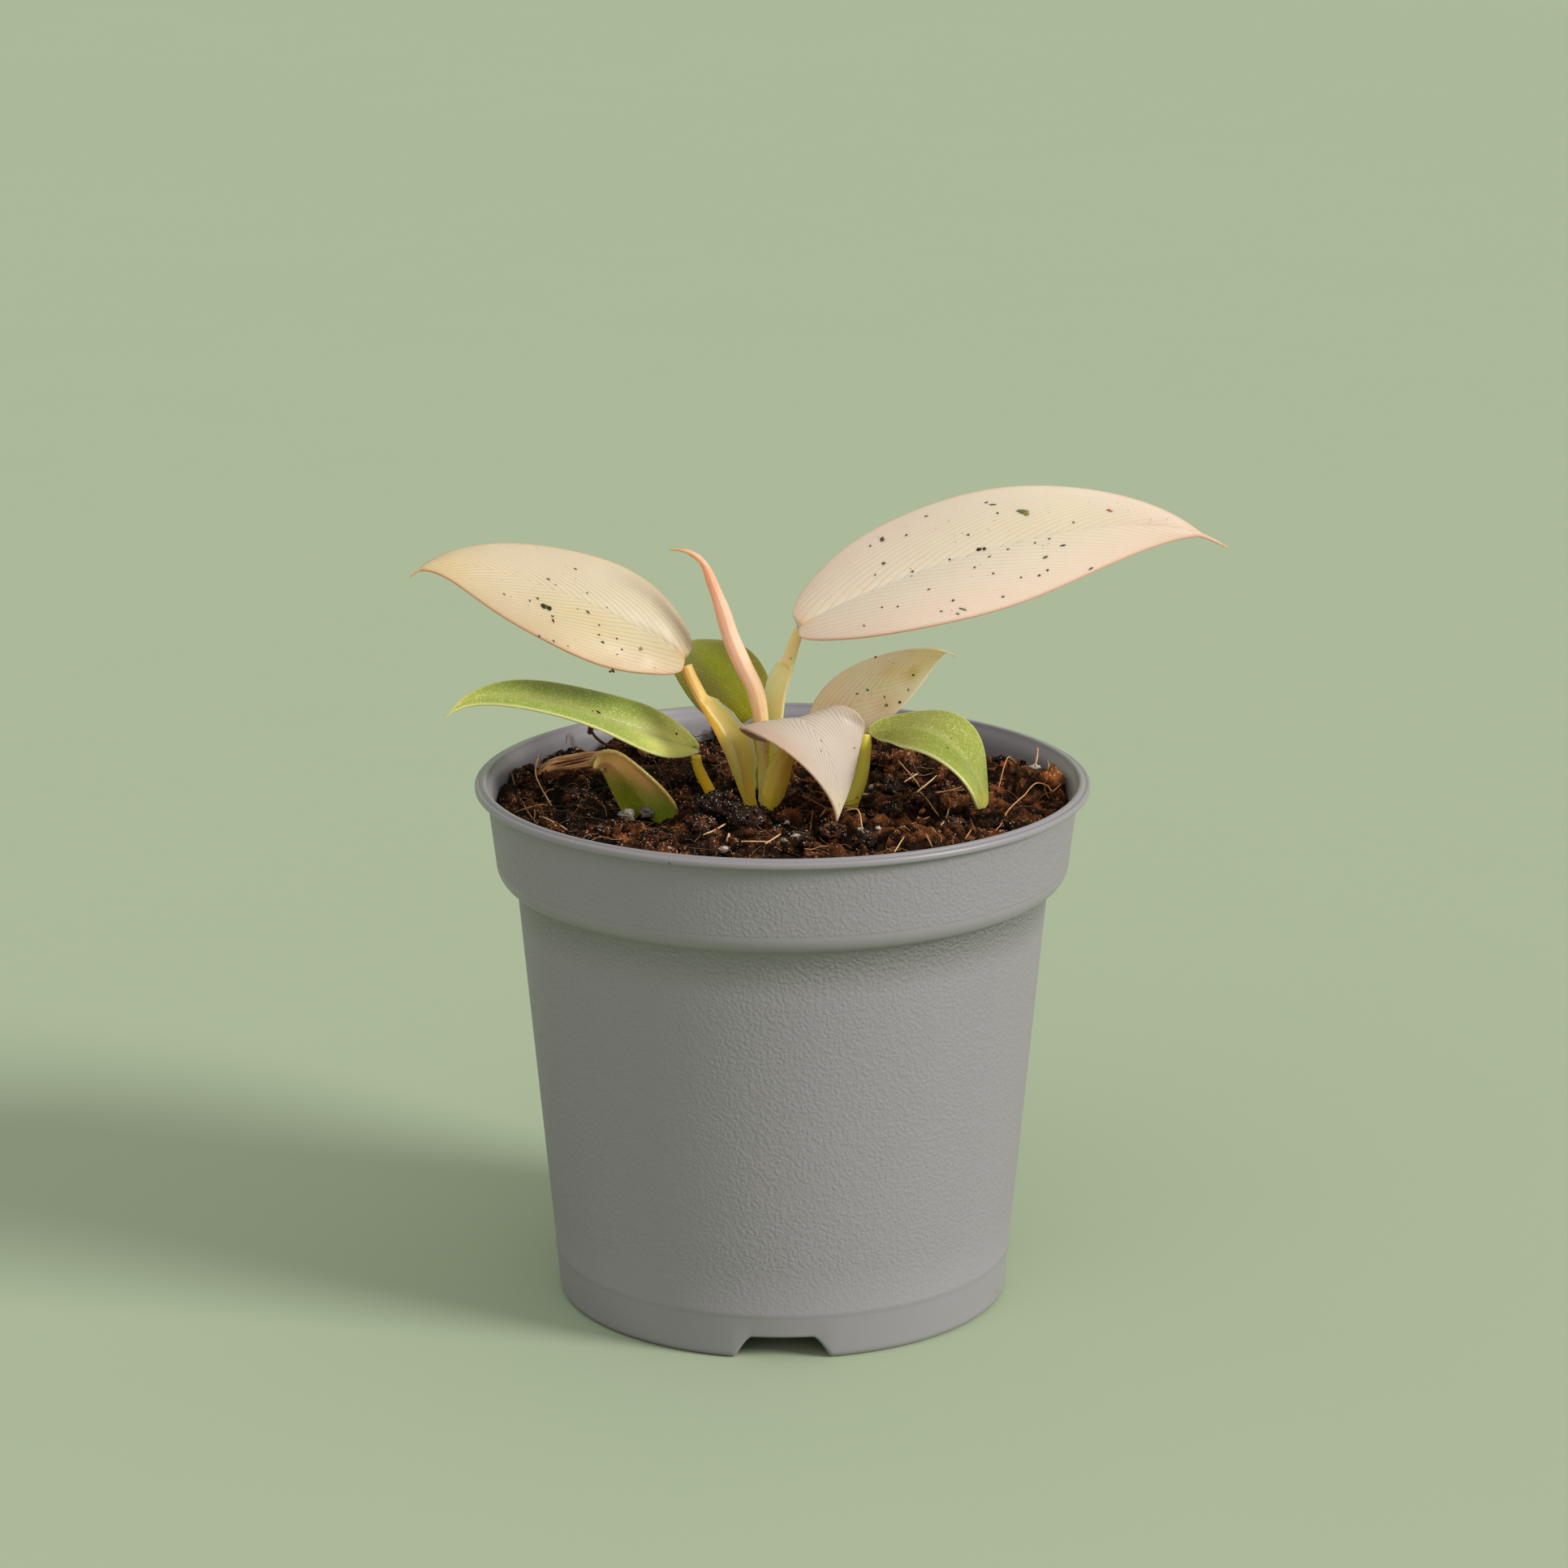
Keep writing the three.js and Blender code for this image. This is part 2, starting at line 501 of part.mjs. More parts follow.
function potGeometry() {
  const bull = COLLAR_RADIUS_LOW - BODY_RADIUS_TOP;
  const lipLow = RIM_HEIGHT - LIP_DEPTH;
  const lipInside = RIM_RADIUS - LIP_WIDTH;
  const footInside = FOOT_RADIUS - FOOT_WALL;
  const profile = [
    [0, 0], [PAD_RADIUS, 0], [PAD_RADIUS + PAD_FLARE, FLOOR_UNDERSIDE],
    [footInside - FOOT_FILLET, FLOOR_UNDERSIDE],
    [footInside, FLOOR_UNDERSIDE - FOOT_FILLET], [footInside, 0],
    ...arc(FOOT_RADIUS, FOOT_ROUND, FOOT_ROUND, ...FOOT_ARC),
    [bodyRadius(GRAIN_LINE_HEIGHT - GRAIN_LINE_WIDTH), GRAIN_LINE_HEIGHT - GRAIN_LINE_WIDTH],
    [bodyRadius(GRAIN_LINE_HEIGHT) + GRAIN_LINE_RELIEF, GRAIN_LINE_HEIGHT],
    [bodyRadius(GRAIN_LINE_HEIGHT + GRAIN_LINE_WIDTH), GRAIN_LINE_HEIGHT + GRAIN_LINE_WIDTH],
    [BODY_RADIUS_TOP, BODY_TOP],
    ...arc(BODY_RADIUS_TOP, COLLAR_LOW, bull, ...BULL_ARC),
    [COLLAR_RADIUS_TOP, lipLow],
    [RIM_RADIUS - LIP_ROUND, lipLow], [RIM_RADIUS, lipLow + LIP_ROUND], [RIM_RADIUS, RIM_HEIGHT - LIP_ROUND],
    [RIM_RADIUS - LIP_ROUND, RIM_HEIGHT],
    [lipInside + LIP_ROUND, RIM_HEIGHT], [lipInside, RIM_HEIGHT - LIP_ROUND],
    [COLLAR_RADIUS_TOP - WALL, lipLow], [COLLAR_RADIUS_LOW - WALL, COLLAR_LOW],
    ...arc(BODY_RADIUS_TOP - WALL, COLLAR_LOW, bull, ...BULL_INSIDE_ARC),
    [innerRadius(BODY_TOP - WALL), BODY_TOP - WALL],
    [innerRadius(FLOOR_TOP + FLOOR_FILLET), FLOOR_TOP + FLOOR_FILLET],
    [innerRadius(FLOOR_TOP) - FLOOR_FILLET, FLOOR_TOP], [0, FLOOR_TOP],
  ];
  const notches = Array.from({ length: NOTCH_COUNT }, (_, i) => notchSolid((360 * i) / NOTCH_COUNT));
  const drains = Array.from({ length: DRAIN_COUNT }, (_, i) => drainSolid((360 * i) / DRAIN_COUNT));
  return toGeometry(toSolid(turned(profile, POT_SEGMENTS)).subtract(joined([...notches, ...drains])));
}

// A notch at an angle from the front, wider at the foot, with rounded shoulders
function notchSolid(turn) {
  const foot = NOTCH_WIDTH_FOOT / 2;
  const top = NOTCH_WIDTH_TOP / 2;
  const shoulder = [mix(top, foot, NOTCH_SHOULDER), NOTCH_HEIGHT * NOTCH_SHOULDER_HEIGHT];
  const shape = new THREE.Shape();
  shape.moveTo(-foot, -NOTCH_BELOW);
  shape.lineTo(foot, -NOTCH_BELOW);
  shape.lineTo(foot, 0);
  shape.quadraticCurveTo(shoulder[0], shoulder[1], top, NOTCH_HEIGHT);
  shape.lineTo(-top, NOTCH_HEIGHT);
  shape.quadraticCurveTo(-shoulder[0], shoulder[1], -foot, 0);
  const block = new THREE.ExtrudeGeometry(shape, {
    depth: NOTCH_REACH, bevelEnabled: false, curveSegments: NOTCH_STEPS,
  });
  block.rotateX(Math.PI / 2);
  block.translate(0, -FOOT_RADIUS + NOTCH_REACH / 2, 0);
  block.rotateZ(THREE.MathUtils.degToRad(turn));
  return toSolid(block);
}

// A drain hole through the floor at an angle from the right
function drainSolid(turn) {
  const hole = new THREE.CylinderGeometry(DRAIN_RADIUS, DRAIN_RADIUS, DRAIN_CUT, DRAIN_SIDES);
  hole.rotateX(Math.PI / 2);
  hole.translate(DRAIN_CIRCLE, 0, (FLOOR_UNDERSIDE + FLOOR_TOP) / 2);
  hole.rotateZ(THREE.MathUtils.degToRad(turn));
  return toSolid(hole);
}

// Height of the mix at a place: a level with slow waves that calm down at the wall, and clods
function mixHeight(x, y) {
  const inside = innerRadius(MIX_LEVEL) - Math.hypot(x, y);
  const calm = mix(MIX_EDGE_RELIEF, 1, smooth(THREE.MathUtils.clamp(inside / MIX_EDGE, 0, 1)));
  const waves = MIX_WAVES.reduce(
    (sum, [tall, kx, ky, phase]) => sum + tall * Math.sin(kx * x + ky * y + phase), 0,
  );
  const lumps = CLODS.reduce(
    (sum, [cx, cy, tall, radius]) =>
      sum + tall * Math.exp(-(((x - cx) ** 2 + (y - cy) ** 2) / radius ** 2)), 0,
  );
  return MIX_LEVEL + waves * calm + lumps;
}

// The mix fills the pot to its relief, ring by ring from the floor's middle to the middle of the top
function mixSolid() {
  const sideHeights = [FLOOR_TOP + FLOOR_FILLET, BODY_TOP - 2 * WALL, COLLAR_LOW];
  const topRadius = innerRadius(MIX_LEVEL) - MIX_GAP;
  const rings = [];
  const ring = (radius, height) => {
    rings.push(Array.from({ length: MIX_SEGMENTS }, (_, k) => {
      const angle = (2 * Math.PI * k) / MIX_SEGMENTS;
      const x = radius * Math.cos(angle);
      const y = radius * Math.sin(angle);
      return new THREE.Vector3(x, y, typeof height === "number" ? height : height(x, y));
    }));
  };
  const floor = FLOOR_TOP + MIX_GAP;
  ring(DRAIN_CIRCLE / 2, floor);
  ring(innerRadius(FLOOR_TOP) - FLOOR_FILLET - MIX_SIDE_GAP, floor);
  for (const z of sideHeights) ring(innerRadius(z) - MIX_SIDE_GAP, z);
  for (let i = 0; i < MIX_RINGS; i++) ring(topRadius * (1 - i / MIX_RINGS), mixHeight);
  return toSolid(loft(rings));
}

// A root: a tapering tube that leaves the stem low on its side, spreads and falls
function rootSolid(stock, index, draw, grow) {
  const [fromTurn, toTurn] = stock.turn;
  const share = (index + ROOT_TURN_START + ROOT_TURN_SPAN * draw()) / stock.roots;
  const turn = THREE.MathUtils.degToRad(mix(fromTurn, toTurn, share));
  const spread = mix(...stock.spread, draw());
  const fall = mix(...stock.fall, draw());
  const sway = mix(-ROOT_SWAY, ROOT_SWAY, draw());
  const start = mix(...ROOT_START, draw());
  const out = new THREE.Vector3(Math.cos(turn), Math.sin(turn), 0);
  const across = out.clone().cross(UP);
  const foot = vector(stock.foot).addScaledVector(UP, start * stock.height);
  const at = (reach, drop, shift) =>
    foot.clone().addScaledVector(out, reach).addScaledVector(UP, -drop).addScaledVector(across, shift);
  const course = ROOT_COURSE.map(
    ([reach, drop, bend]) => at(stock.radius + reach * spread, drop * fall, bend * sway),
  );
  const curve = new THREE.CatmullRomCurve3([at(stock.radius * ROOT_INSET, 0, 0), ...course]);
  const rings = [];
  for (let i = 0; i <= ROOT_ROWS; i++) {
    const along = curve.getTangentAt(i / ROOT_ROWS);
    const side = along.clone().cross(across).normalize();
    const second = along.clone().cross(side);
    const radius = mix(ROOT_RADIUS, ROOT_TIP_RADIUS, i / ROOT_ROWS) + grow;
    const centre = curve.getPointAt(i / ROOT_ROWS).addScaledVector(along, i === ROOT_ROWS ? grow : 0);
    rings.push(Array.from({ length: ROOT_SIDES }, (_, k) => {
      const angle = (2 * Math.PI * k) / ROOT_SIDES;
      return centre.clone()
        .addScaledVector(side, radius * Math.cos(angle))
        .addScaledVector(second, radius * Math.sin(angle));
    }));
  }
  return toSolid(loft(rings));
}

// A rootstock: a short ringed stem with its roots sunk well into it
function rootstockSolid(stock, grow = 0) {
  const { radius, height } = stock;
  const top = height + ROOTSTOCK_HEADROOM * grow;
  const side = ROOTSTOCK_OUTLINE.map(([r, z]) => [r * radius + grow, z * top]);
  const profile = [[0, -grow], [side[0][0], -grow], ...side.slice(1), [0, top]];
  const stem = turned(profile, ROOTSTOCK_SIDES).translate(...stock.foot);
  const draw = seeded(stock.seed);
  const roots = Array.from({ length: stock.roots }, (_, i) => rootSolid(stock, i, draw, grow));
  return joined([toSolid(stem), ...roots]);
}

// The husk chip, and with grow the pocket that it lies in
function chipSolid(grow = 0) {
  const outline = CHIP_OUTLINE.map(
    ([x, y]) => new THREE.Vector2(x + Math.sign(x) * grow, y + Math.sign(y) * grow),
  );
  const depth = CHIP_DEPTH + 2 * grow;
  const chip = new THREE.ExtrudeGeometry(new THREE.Shape(outline), { depth, bevelEnabled: false });
  chip.translate(0, 0, -CHIP_DEPTH / 2 - grow);
  chip.rotateX(Math.PI / 2);
  chip.rotateY(THREE.MathUtils.degToRad(CHIP_TILT));
  chip.rotateZ(THREE.MathUtils.degToRad(CHIP_TURN));
  return toSolid(chip.translate(...CHIP_PLACE));
}

// The slit that the young leaf rises through, with a socket round its foot
function youngLeafHole() {
  const leaf = { ...LEAVES.young_leaf, half: LEAVES.young_leaf.half + 2 * HOLE_CLEARANCE };
  const socket = new THREE.CylinderGeometry(
    YOUNG_SOCKET_RADIUS, YOUNG_SOCKET_RADIUS, YOUNG_SOCKET_DEPTH, YOUNG_SOCKET_SIDES,
  );
  socket.rotateX(Math.PI / 2).translate(...leaf.rib[0]);
  return toSolid(bladeGeometry(leaf, HOLE_CLEARANCE)).add(toSolid(socket));
}

const plant = new THREE.Group();

function place(name, geometry, color, roughness) {
  const mesh = new THREE.Mesh(geometry, new THREE.MeshStandardMaterial({ color, roughness, metalness: 0 }));
  mesh.name = name;
  plant.add(mesh);
}

place("pot", potGeometry(), PLASTIC_GREY, PLASTIC_ROUGHNESS);

const holes = [chipSolid(HOLE_CLEARANCE)];
for (const [name, stock] of Object.entries(ROOTSTOCKS)) {
  place(name, toGeometry(rootstockSolid(stock)), stock.colour, ROOT_ROUGHNESS);
  holes.push(rootstockSolid(stock, HOLE_CLEARANCE));
}
for (const [name, petiole] of Object.entries(PETIOLES)) {
  place(`${name}_petiole`, stemGeometry(petiole), petiole.colour, PLANT_ROUGHNESS);
  holes.push(toSolid(stemGeometry(petiole, HOLE_CLEARANCE)));
}
for (const [name, leaf] of Object.entries(LEAVES)) {
  place(name === "young_leaf" ? name : `${name}_blade`, bladeGeometry(leaf), leaf.colour, PLANT_ROUGHNESS);
}
holes.push(youngLeafHole());
holes.push(toSolid(stemGeometry(SPEAR, HOLE_CLEARANCE)));
place("spear", stemGeometry(SPEAR), SPEAR.colour, PLANT_ROUGHNESS);
place("husk_chip", toGeometry(chipSolid()), HUSK_BROWN, SOIL_ROUGHNESS);
place("potting_mix", toGeometry(mixSolid().subtract(joined(holes))), SOIL_BROWN, SOIL_ROUGHNESS);

export default plant;
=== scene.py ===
"""A potted young philodendron with pale leaves, dressed for its looks.

Sizes in the classes are in millimetres, in the part's frame, and turn into metres when a mesh is made.
"""

import itertools
import logging
import math
from dataclasses import dataclass, field
from enum import Enum

import bpy
import numpy as np
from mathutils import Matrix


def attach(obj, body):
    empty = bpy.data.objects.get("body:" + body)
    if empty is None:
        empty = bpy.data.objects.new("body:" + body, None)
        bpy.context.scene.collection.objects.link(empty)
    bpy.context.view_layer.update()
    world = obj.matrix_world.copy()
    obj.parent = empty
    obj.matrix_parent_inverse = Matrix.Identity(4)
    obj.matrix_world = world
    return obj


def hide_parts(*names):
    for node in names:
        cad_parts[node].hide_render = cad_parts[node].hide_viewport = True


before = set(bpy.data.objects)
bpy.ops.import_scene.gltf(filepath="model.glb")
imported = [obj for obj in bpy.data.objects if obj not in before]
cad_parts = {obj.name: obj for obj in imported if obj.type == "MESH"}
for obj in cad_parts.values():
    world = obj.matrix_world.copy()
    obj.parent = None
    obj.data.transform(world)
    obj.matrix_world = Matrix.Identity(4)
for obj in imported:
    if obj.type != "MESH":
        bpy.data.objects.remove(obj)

MM = 0.001
BODY = "root"
log = logging.getLogger("plant")

Point = tuple[float, float, float]
Colour = tuple[float, float, float]
Names = tuple[str, ...]
Inputs = dict[str | int, object]
Tree = bpy.types.NodeTree
Node = bpy.types.Node
Socket = bpy.types.NodeSocket
Material = bpy.types.Material
Piece = bpy.types.Object


class Layer(Enum):
    """Names of the mesh layers that the materials read."""

    BLADE_UV = "blade_uv"
    PAINT = "paint"
    VEIN = "vein"
    GRAIN = "grain"
    PAINTED_SHADE = "depth"


def smooth(t: np.ndarray) -> np.ndarray:
    """Ease a share from 0 to 1: three t squared less two t cubed."""
    return t * t * (3 - 2 * t)


def eased(t: np.ndarray) -> np.ndarray:
    """Hold a value between 0 and 1, then ease it."""
    return smooth(np.clip(t, 0, 1))


def circle(count: int) -> np.ndarray:
    """Even angles round a full circle, from zero."""
    return np.linspace(0, 2 * math.pi, count, endpoint=False)


def blend(a: np.ndarray, b: np.ndarray, t: np.ndarray) -> np.ndarray:
    """Go from a to b by share t, along a straight line."""
    return a + (b - a) * t


def unit(v: np.ndarray) -> np.ndarray:
    """Scale vectors to length one, along the last axis."""
    v = np.asarray(v, float)
    return v / np.maximum(np.linalg.norm(v, axis=-1, keepdims=True), 1e-12)


def tone(red: float, green: float, blue: float) -> Colour:
    """Turn screen values from 0 to 255 into light, by the usual screen curve with its straight dark end."""
    shares = [c / 255 for c in (red, green, blue)]
    return tuple(((c + 0.055) / 1.055) ** 2.4 if c > 0.04045 else c / 12.92 for c in shares)


CORNER_MIX = (374761393, 668265263, 2246822519)
SEED_MIX = 3266489917
ROUND_MIX = 1274126177
LOW_BITS = 0xFFFFFFFF


def lattice(corners: np.ndarray, seed: int) -> np.ndarray:
    """Draw a repeatable value from 0 to 1 for each whole corner, by mixing its three numbers and the seed.

    Args:
        corners: whole numbers, three in the last axis.
        seed: picks another draw.

    Returns:
        One value for each corner.
    """
    h = sum(corners[..., axis] * mix for axis, mix in enumerate(CORNER_MIX)) + seed * SEED_MIX
    h = (h ^ (h >> 13)) & LOW_BITS
    h = (h * ROUND_MIX) & LOW_BITS
    h = (h ^ (h >> 16)) & LOW_BITS
    return h / LOW_BITS


def value_noise(points: np.ndarray, seed: int = 0) -> np.ndarray:
    """Smooth noise from -1 to 1: the draws at the eight corners round a point, eased between them.

    Args:
        points: places, three numbers in the last axis, one unit being one cell.
        seed: picks another draw.

    Returns:
        One value for each place.
    """
    base = np.floor(points).astype(np.int64)
    t = smooth(points - base)
    total = np.zeros(points.shape[:-1])
    for corner in itertools.product((0, 1), repeat=3):
        share = np.prod(np.where(np.array(corner) == 1, t, 1 - t), axis=-1)
        total += share * lattice(base + np.array(corner), seed)
    return 2 * total - 1


OCTAVE_SHIFT = 17.3


def fractal(points: np.ndarray, octaves: int, seed: int = 0, gain: float = 0.5) -> np.ndarray:
    """Add layers of value noise, each twice as fine as the last and gain times as strong.

    Args:
        points: places, three numbers in the last axis.
        octaves: how many layers.
        seed: picks another draw.
        gain: strength of each layer against the one before.

    Returns:
        One value for each place, about -1 to 1.
    """
    total = np.zeros(points.shape[:-1])
    strength, reach = 1.0, 0.0
    for octave in range(octaves):
        total += strength * value_noise(points * 2.0**octave + OCTAVE_SHIFT * octave, seed + octave)
        reach += strength
        strength *= gain
    return total / reach


@dataclass
class Surface:
    """A mesh in the making, as whole arrays.

    Args:
        points: corner places, in millimetres.
        faces: corner numbers of each face; a triangle repeats its last corner.
        uv: two numbers a corner, or None.
        values: named values a corner, one number or a colour each.
        material: material number of each face, or None where all take the first.
    """

    points: np.ndarray
    faces: np.ndarray
    uv: np.ndarray | None = None
    values: dict[Layer, np.ndarray] = field(default_factory=dict)
    material: np.ndarray | None = None

    def facing_out(self) -> "Surface":
        """Turn the faces round if the volume that they enclose is negative."""
        a, b, c, d = (self.points[self.faces[:, k]] for k in range(4))
        volume = np.einsum("ij,ij->", a, np.cross(b, c)) + np.einsum("ij,ij->", a, np.cross(c, d))
        if volume < 0:
            triangle = self.faces[:, 2] == self.faces[:, 3]
            self.faces = self.faces[:, ::-1].copy()
            self.faces[triangle] = np.roll(self.faces[triangle], -1, axis=1)
        return self


def joined(parts: list[Surface]) -> Surface:
    """Put several surfaces into one, each keeping its own corners, faces and values."""
    shifts = np.cumsum([0] + [len(p.points) for p in parts[:-1]])
    layers = parts[0].values.keys()
    return Surface(
        points=np.concatenate([p.points for p in parts]),
        faces=np.concatenate([p.faces + shift for p, shift in zip(parts, shifts)]),
        uv=None if parts[0].uv is None else np.concatenate([p.uv for p in parts]),
        values={layer: np.concatenate([p.values[layer] for p in parts]) for layer in layers},
        material=np.concatenate(
            [np.zeros(len(p.faces), int) if p.material is None else p.material for p in parts]
        ),
    )


def ring_faces(rows: int, columns: int, capped: bool = True) -> np.ndarray:
    """List the faces of a grid whose columns run round in closed rings.

    Args:
        rows: rings in the grid.
        columns: corners in each ring.
        capped: True where two more corners follow the grid, one that closes each end.

    Returns:
        Four corner numbers a face, the last one repeated on the caps.
    """
    i, j = np.meshgrid(np.arange(rows - 1), np.arange(columns), indexing="ij")
    near, far = i * columns + j, i * columns + (j + 1) % columns
    faces = [np.stack([near, far, far + columns, near + columns], -1).reshape(-1, 4)]
    if capped:
        around = np.arange(columns)
        after = (around + 1) % columns
        last = (rows - 1) * columns
        low, high = np.full(columns, rows * columns), np.full(columns, rows * columns + 1)
        faces.append(np.stack([after, around, low, low], -1))
        faces.append(np.stack([last + around, last + after, high, high], -1))
    return np.concatenate(faces)


def lofted(rings: np.ndarray) -> tuple[np.ndarray, np.ndarray]:
    """Close a stack of rings with a middle corner at each end.

    Args:
        rings: places as rows, columns, three numbers.

    Returns:
        The corners and the faces.
    """
    ends = np.stack([rings[0].mean(0), rings[-1].mean(0)])
    points = np.concatenate([rings.reshape(-1, 3), ends])
    return points, ring_faces(rings.shape[0], rings.shape[1])


def with_ends(values: np.ndarray) -> np.ndarray:
    """Give the two closing corners the mean of the first and last ring's values."""
    rings = values.reshape(values.shape[0], values.shape[1], -1)
    ends = np.stack([rings[0].mean(0), rings[-1].mean(0)])
    return np.concatenate([rings.reshape(-1, rings.shape[2]), ends])


def repeated(one: np.ndarray, corners: int, count: int) -> np.ndarray:
    """Repeat the faces of one small form for many alike, each with its own corners."""
    return (one[None] + (np.arange(count) * corners)[:, None, None]).reshape(-1, 4)


def placed(name: str, data: object) -> Piece:
    """Put a mesh, a light or a camera into the scene as an object."""
    thing = bpy.data.objects.new(name, data)
    bpy.context.scene.collection.objects.link(thing)
    return thing


def make_piece(
    name: str,
    surface: Surface,
    materials: list[Material],
    replaces: Names = (),
    even: bool = True,
) -> Piece:
    """Put a surface into a Blender mesh that rides on the part.

    Args:
        name: plain name of the piece.
        surface: its corners, faces and values.
        materials: the materials that the faces' numbers pick from.
        replaces: solids of the part that it stands for.
        even: True for smooth shading, False for the sharp faces of torn crumbs.

    Returns:
        The new object.
    """
    mesh = bpy.data.meshes.new(name)
    triangle = surface.faces[:, 2] == surface.faces[:, 3]
    corners = surface.faces[np.stack([np.ones(len(triangle), bool)] * 3 + [~triangle], 1)]
    counts = np.where(triangle, 3, 4)
    mesh.vertices.add(len(surface.points))
    mesh.vertices.foreach_set("co", (surface.points * MM).astype(np.float32).ravel())
    mesh.loops.add(len(corners))
    mesh.loops.foreach_set("vertex_index", corners.astype(np.int32))
    mesh.polygons.add(len(counts))
    mesh.polygons.foreach_set("loop_start", (np.cumsum(counts) - counts).astype(np.int32))
    mesh.polygons.foreach_set("use_smooth", np.full(len(counts), even))
    if surface.material is not None:
        mesh.polygons.foreach_set("material_index", surface.material.astype(np.int32))
    mesh.update(calc_edges=True)
    if surface.uv is not None:
        layer = mesh.uv_layers.new(name=Layer.BLADE_UV.value)
        layer.uv.foreach_set("vector", surface.uv[corners].astype(np.float32).ravel())
    for key, values in surface.values.items():
        kind, field_name = ("FLOAT_COLOR", "color") if values.ndim == 2 else ("FLOAT", "value")
        if values.ndim == 2:
            values = np.concatenate([values, np.ones((len(values), 1))], axis=1)
        attribute = mesh.attributes.new(key.value, kind, "POINT")
        attribute.data.foreach_set(field_name, values.astype(np.float32).ravel())
    for material in materials:
        mesh.materials.append(material)
    piece = placed(name, mesh)
    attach(piece, BODY)
    if replaces:
        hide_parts(*replaces)
    log.info("%s: %d faces", name, len(counts))
    return piece


# Node graphs

NODE_STEP = (220, -260)
NODES_A_ROW = 12


class Graph:
    """A node tree that is filled one node at a time."""

    def __init__(self, tree: Tree) -> None:
        """Keep the tree to fill."""
        self.tree = tree
        self.count = 0

    def fill(self, node: Node, inputs: Inputs) -> Node:
        """Set each named or numbered input to a value, or link it to another node's output."""
        for key, value in inputs.items():
            if isinstance(value, Socket):
                self.tree.links.new(value, node.inputs[key])
            else:
                node.inputs[key].default_value = value
        return node

    def add(self, kind: str, inputs: Inputs | None = None, **settings: object) -> Node:
        """Add a node of one of Blender's kinds, set its own options, and fill its inputs."""
        node = self.tree.nodes.new(kind)
        row, column = divmod(self.count, NODES_A_ROW)
        node.location = (NODE_STEP[0] * column, NODE_STEP[1] * row)
        self.count += 1
        for key, value in settings.items():
            setattr(node, key, value)
        return self.fill(node, inputs or {})

    def use(self, effect: Tree, **inputs: object) -> Node:
        """Place a shared effect with its own values."""
        return self.fill(self.add("ShaderNodeGroup", node_tree=effect), inputs)

    def maths(self, operation: str, *values: object) -> Socket:
        """Add one sum of the Math node and return its result."""
        return self.add("ShaderNodeMath", dict(enumerate(values)), operation=operation).outputs[0]

    def vector(self, operation: str, *values: object) -> Socket:
        """Add one sum of the Vector Math node and return its result."""
        return self.add("ShaderNodeVectorMath", dict(enumerate(values)), operation=operation).outputs[0]

    def times(self, first: object, second: object) -> Socket:
        """Multiply two values."""
        return self.maths("MULTIPLY", first, second)

    def plus(self, first: object, second: object) -> Socket:
        """Add two values."""
        return self.maths("ADD", first, second)

    def span(self, value: object, low: float, high: float, to_low: float = 0, to_high: float = 1) -> Socket:
        """Ease a value from one span to another, held at both ends."""
        inputs = {0: value, 1: low, 2: high, 3: to_low, 4: to_high}
        return self.add("ShaderNodeMapRange", inputs, interpolation_type="SMOOTHSTEP").outputs[0]

    def mixed(self, share: object, first: object, second: object, way: str = "MIX") -> Socket:
        """Mix two colours by a share and return the result."""
        inputs = {0: share, 6: first, 7: second}
        return self.add("ShaderNodeMix", inputs, data_type="RGBA", blend_type=way).outputs[2]

    def noise(self, place: object, scale: object, detail: float = 3, rough: float = 0.55) -> Socket:
        """Add noise at a scale in cells a metre, or a unit of the place, and return its value."""
        inputs = {"Vector": place, "Scale": scale, "Detail": detail, "Roughness": rough}
        return self.add("ShaderNodeTexNoise", inputs).outputs["Fac"]

    def bump(self, height: Socket, strength: float, reach: float) -> Socket:
        """Turn a height into a normal, over a reach in millimetres."""
        inputs = {"Height": height, "Strength": strength, "Distance": reach * MM}
        return self.add("ShaderNodeBump", inputs).outputs[0]

    def place(self) -> Socket:
        """Return the place on the piece in the part's own frame."""
        return self.add("ShaderNodeTexCoord").outputs["Object"]

    def layer(self, name: Layer, output: str = "Fac") -> Socket:
        """Return a named value or colour that the mesh carries."""
        return self.add("ShaderNodeAttribute", attribute_name=name.value).outputs[output]


def new_group(name: str, inputs: Names, outputs: Names) -> tuple[Graph, dict[str, Socket]]:
    """Start a node group; its sockets named Colour hold a colour, and the others a number.

    Args:
        name: name of the effect.
        inputs: names of the inputs.
        outputs: names of the outputs.

    Returns:
        The group's graph, and its input sockets by name.
    """
    tree = bpy.data.node_groups.new(name, "ShaderNodeTree")
    for way, keys in (("INPUT", inputs), ("OUTPUT", outputs)):
        for key in keys:
            kind = "NodeSocketColor" if key == "Colour" else "NodeSocketFloat"
            tree.interface.new_socket(key, in_out=way, socket_type=kind)
    graph = Graph(tree)
    entry = graph.add("NodeGroupInput")
    return graph, {key: entry.outputs[key] for key in inputs}


def vein_group() -> Tree:
    """Thin lines at whole steps of a coordinate in millimetres, wavering and fading with noise."""
    graph, given = new_group("leaf veins", ("Step", "Waver"), ("Line", "Height"))
    place = graph.place()
    sway = graph.maths("SUBTRACT", graph.noise(place, scale=160, detail=2), 0.5)
    steps = graph.maths("DIVIDE", graph.layer(Layer.VEIN), given["Step"])
    steps = graph.plus(steps, graph.times(sway, given["Waver"]))
    near = graph.times(graph.maths("PINGPONG", steps, 0.5), 2)
    strong = graph.span(near, low=0.0, high=0.28, to_low=1, to_high=0)
    fade = graph.span(graph.noise(place, scale=220), low=0.25, high=0.6, to_low=0.5)
    graph.add("NodeGroupOutput", {"Line": graph.times(strong, fade), "Height": near})
    return graph.tree


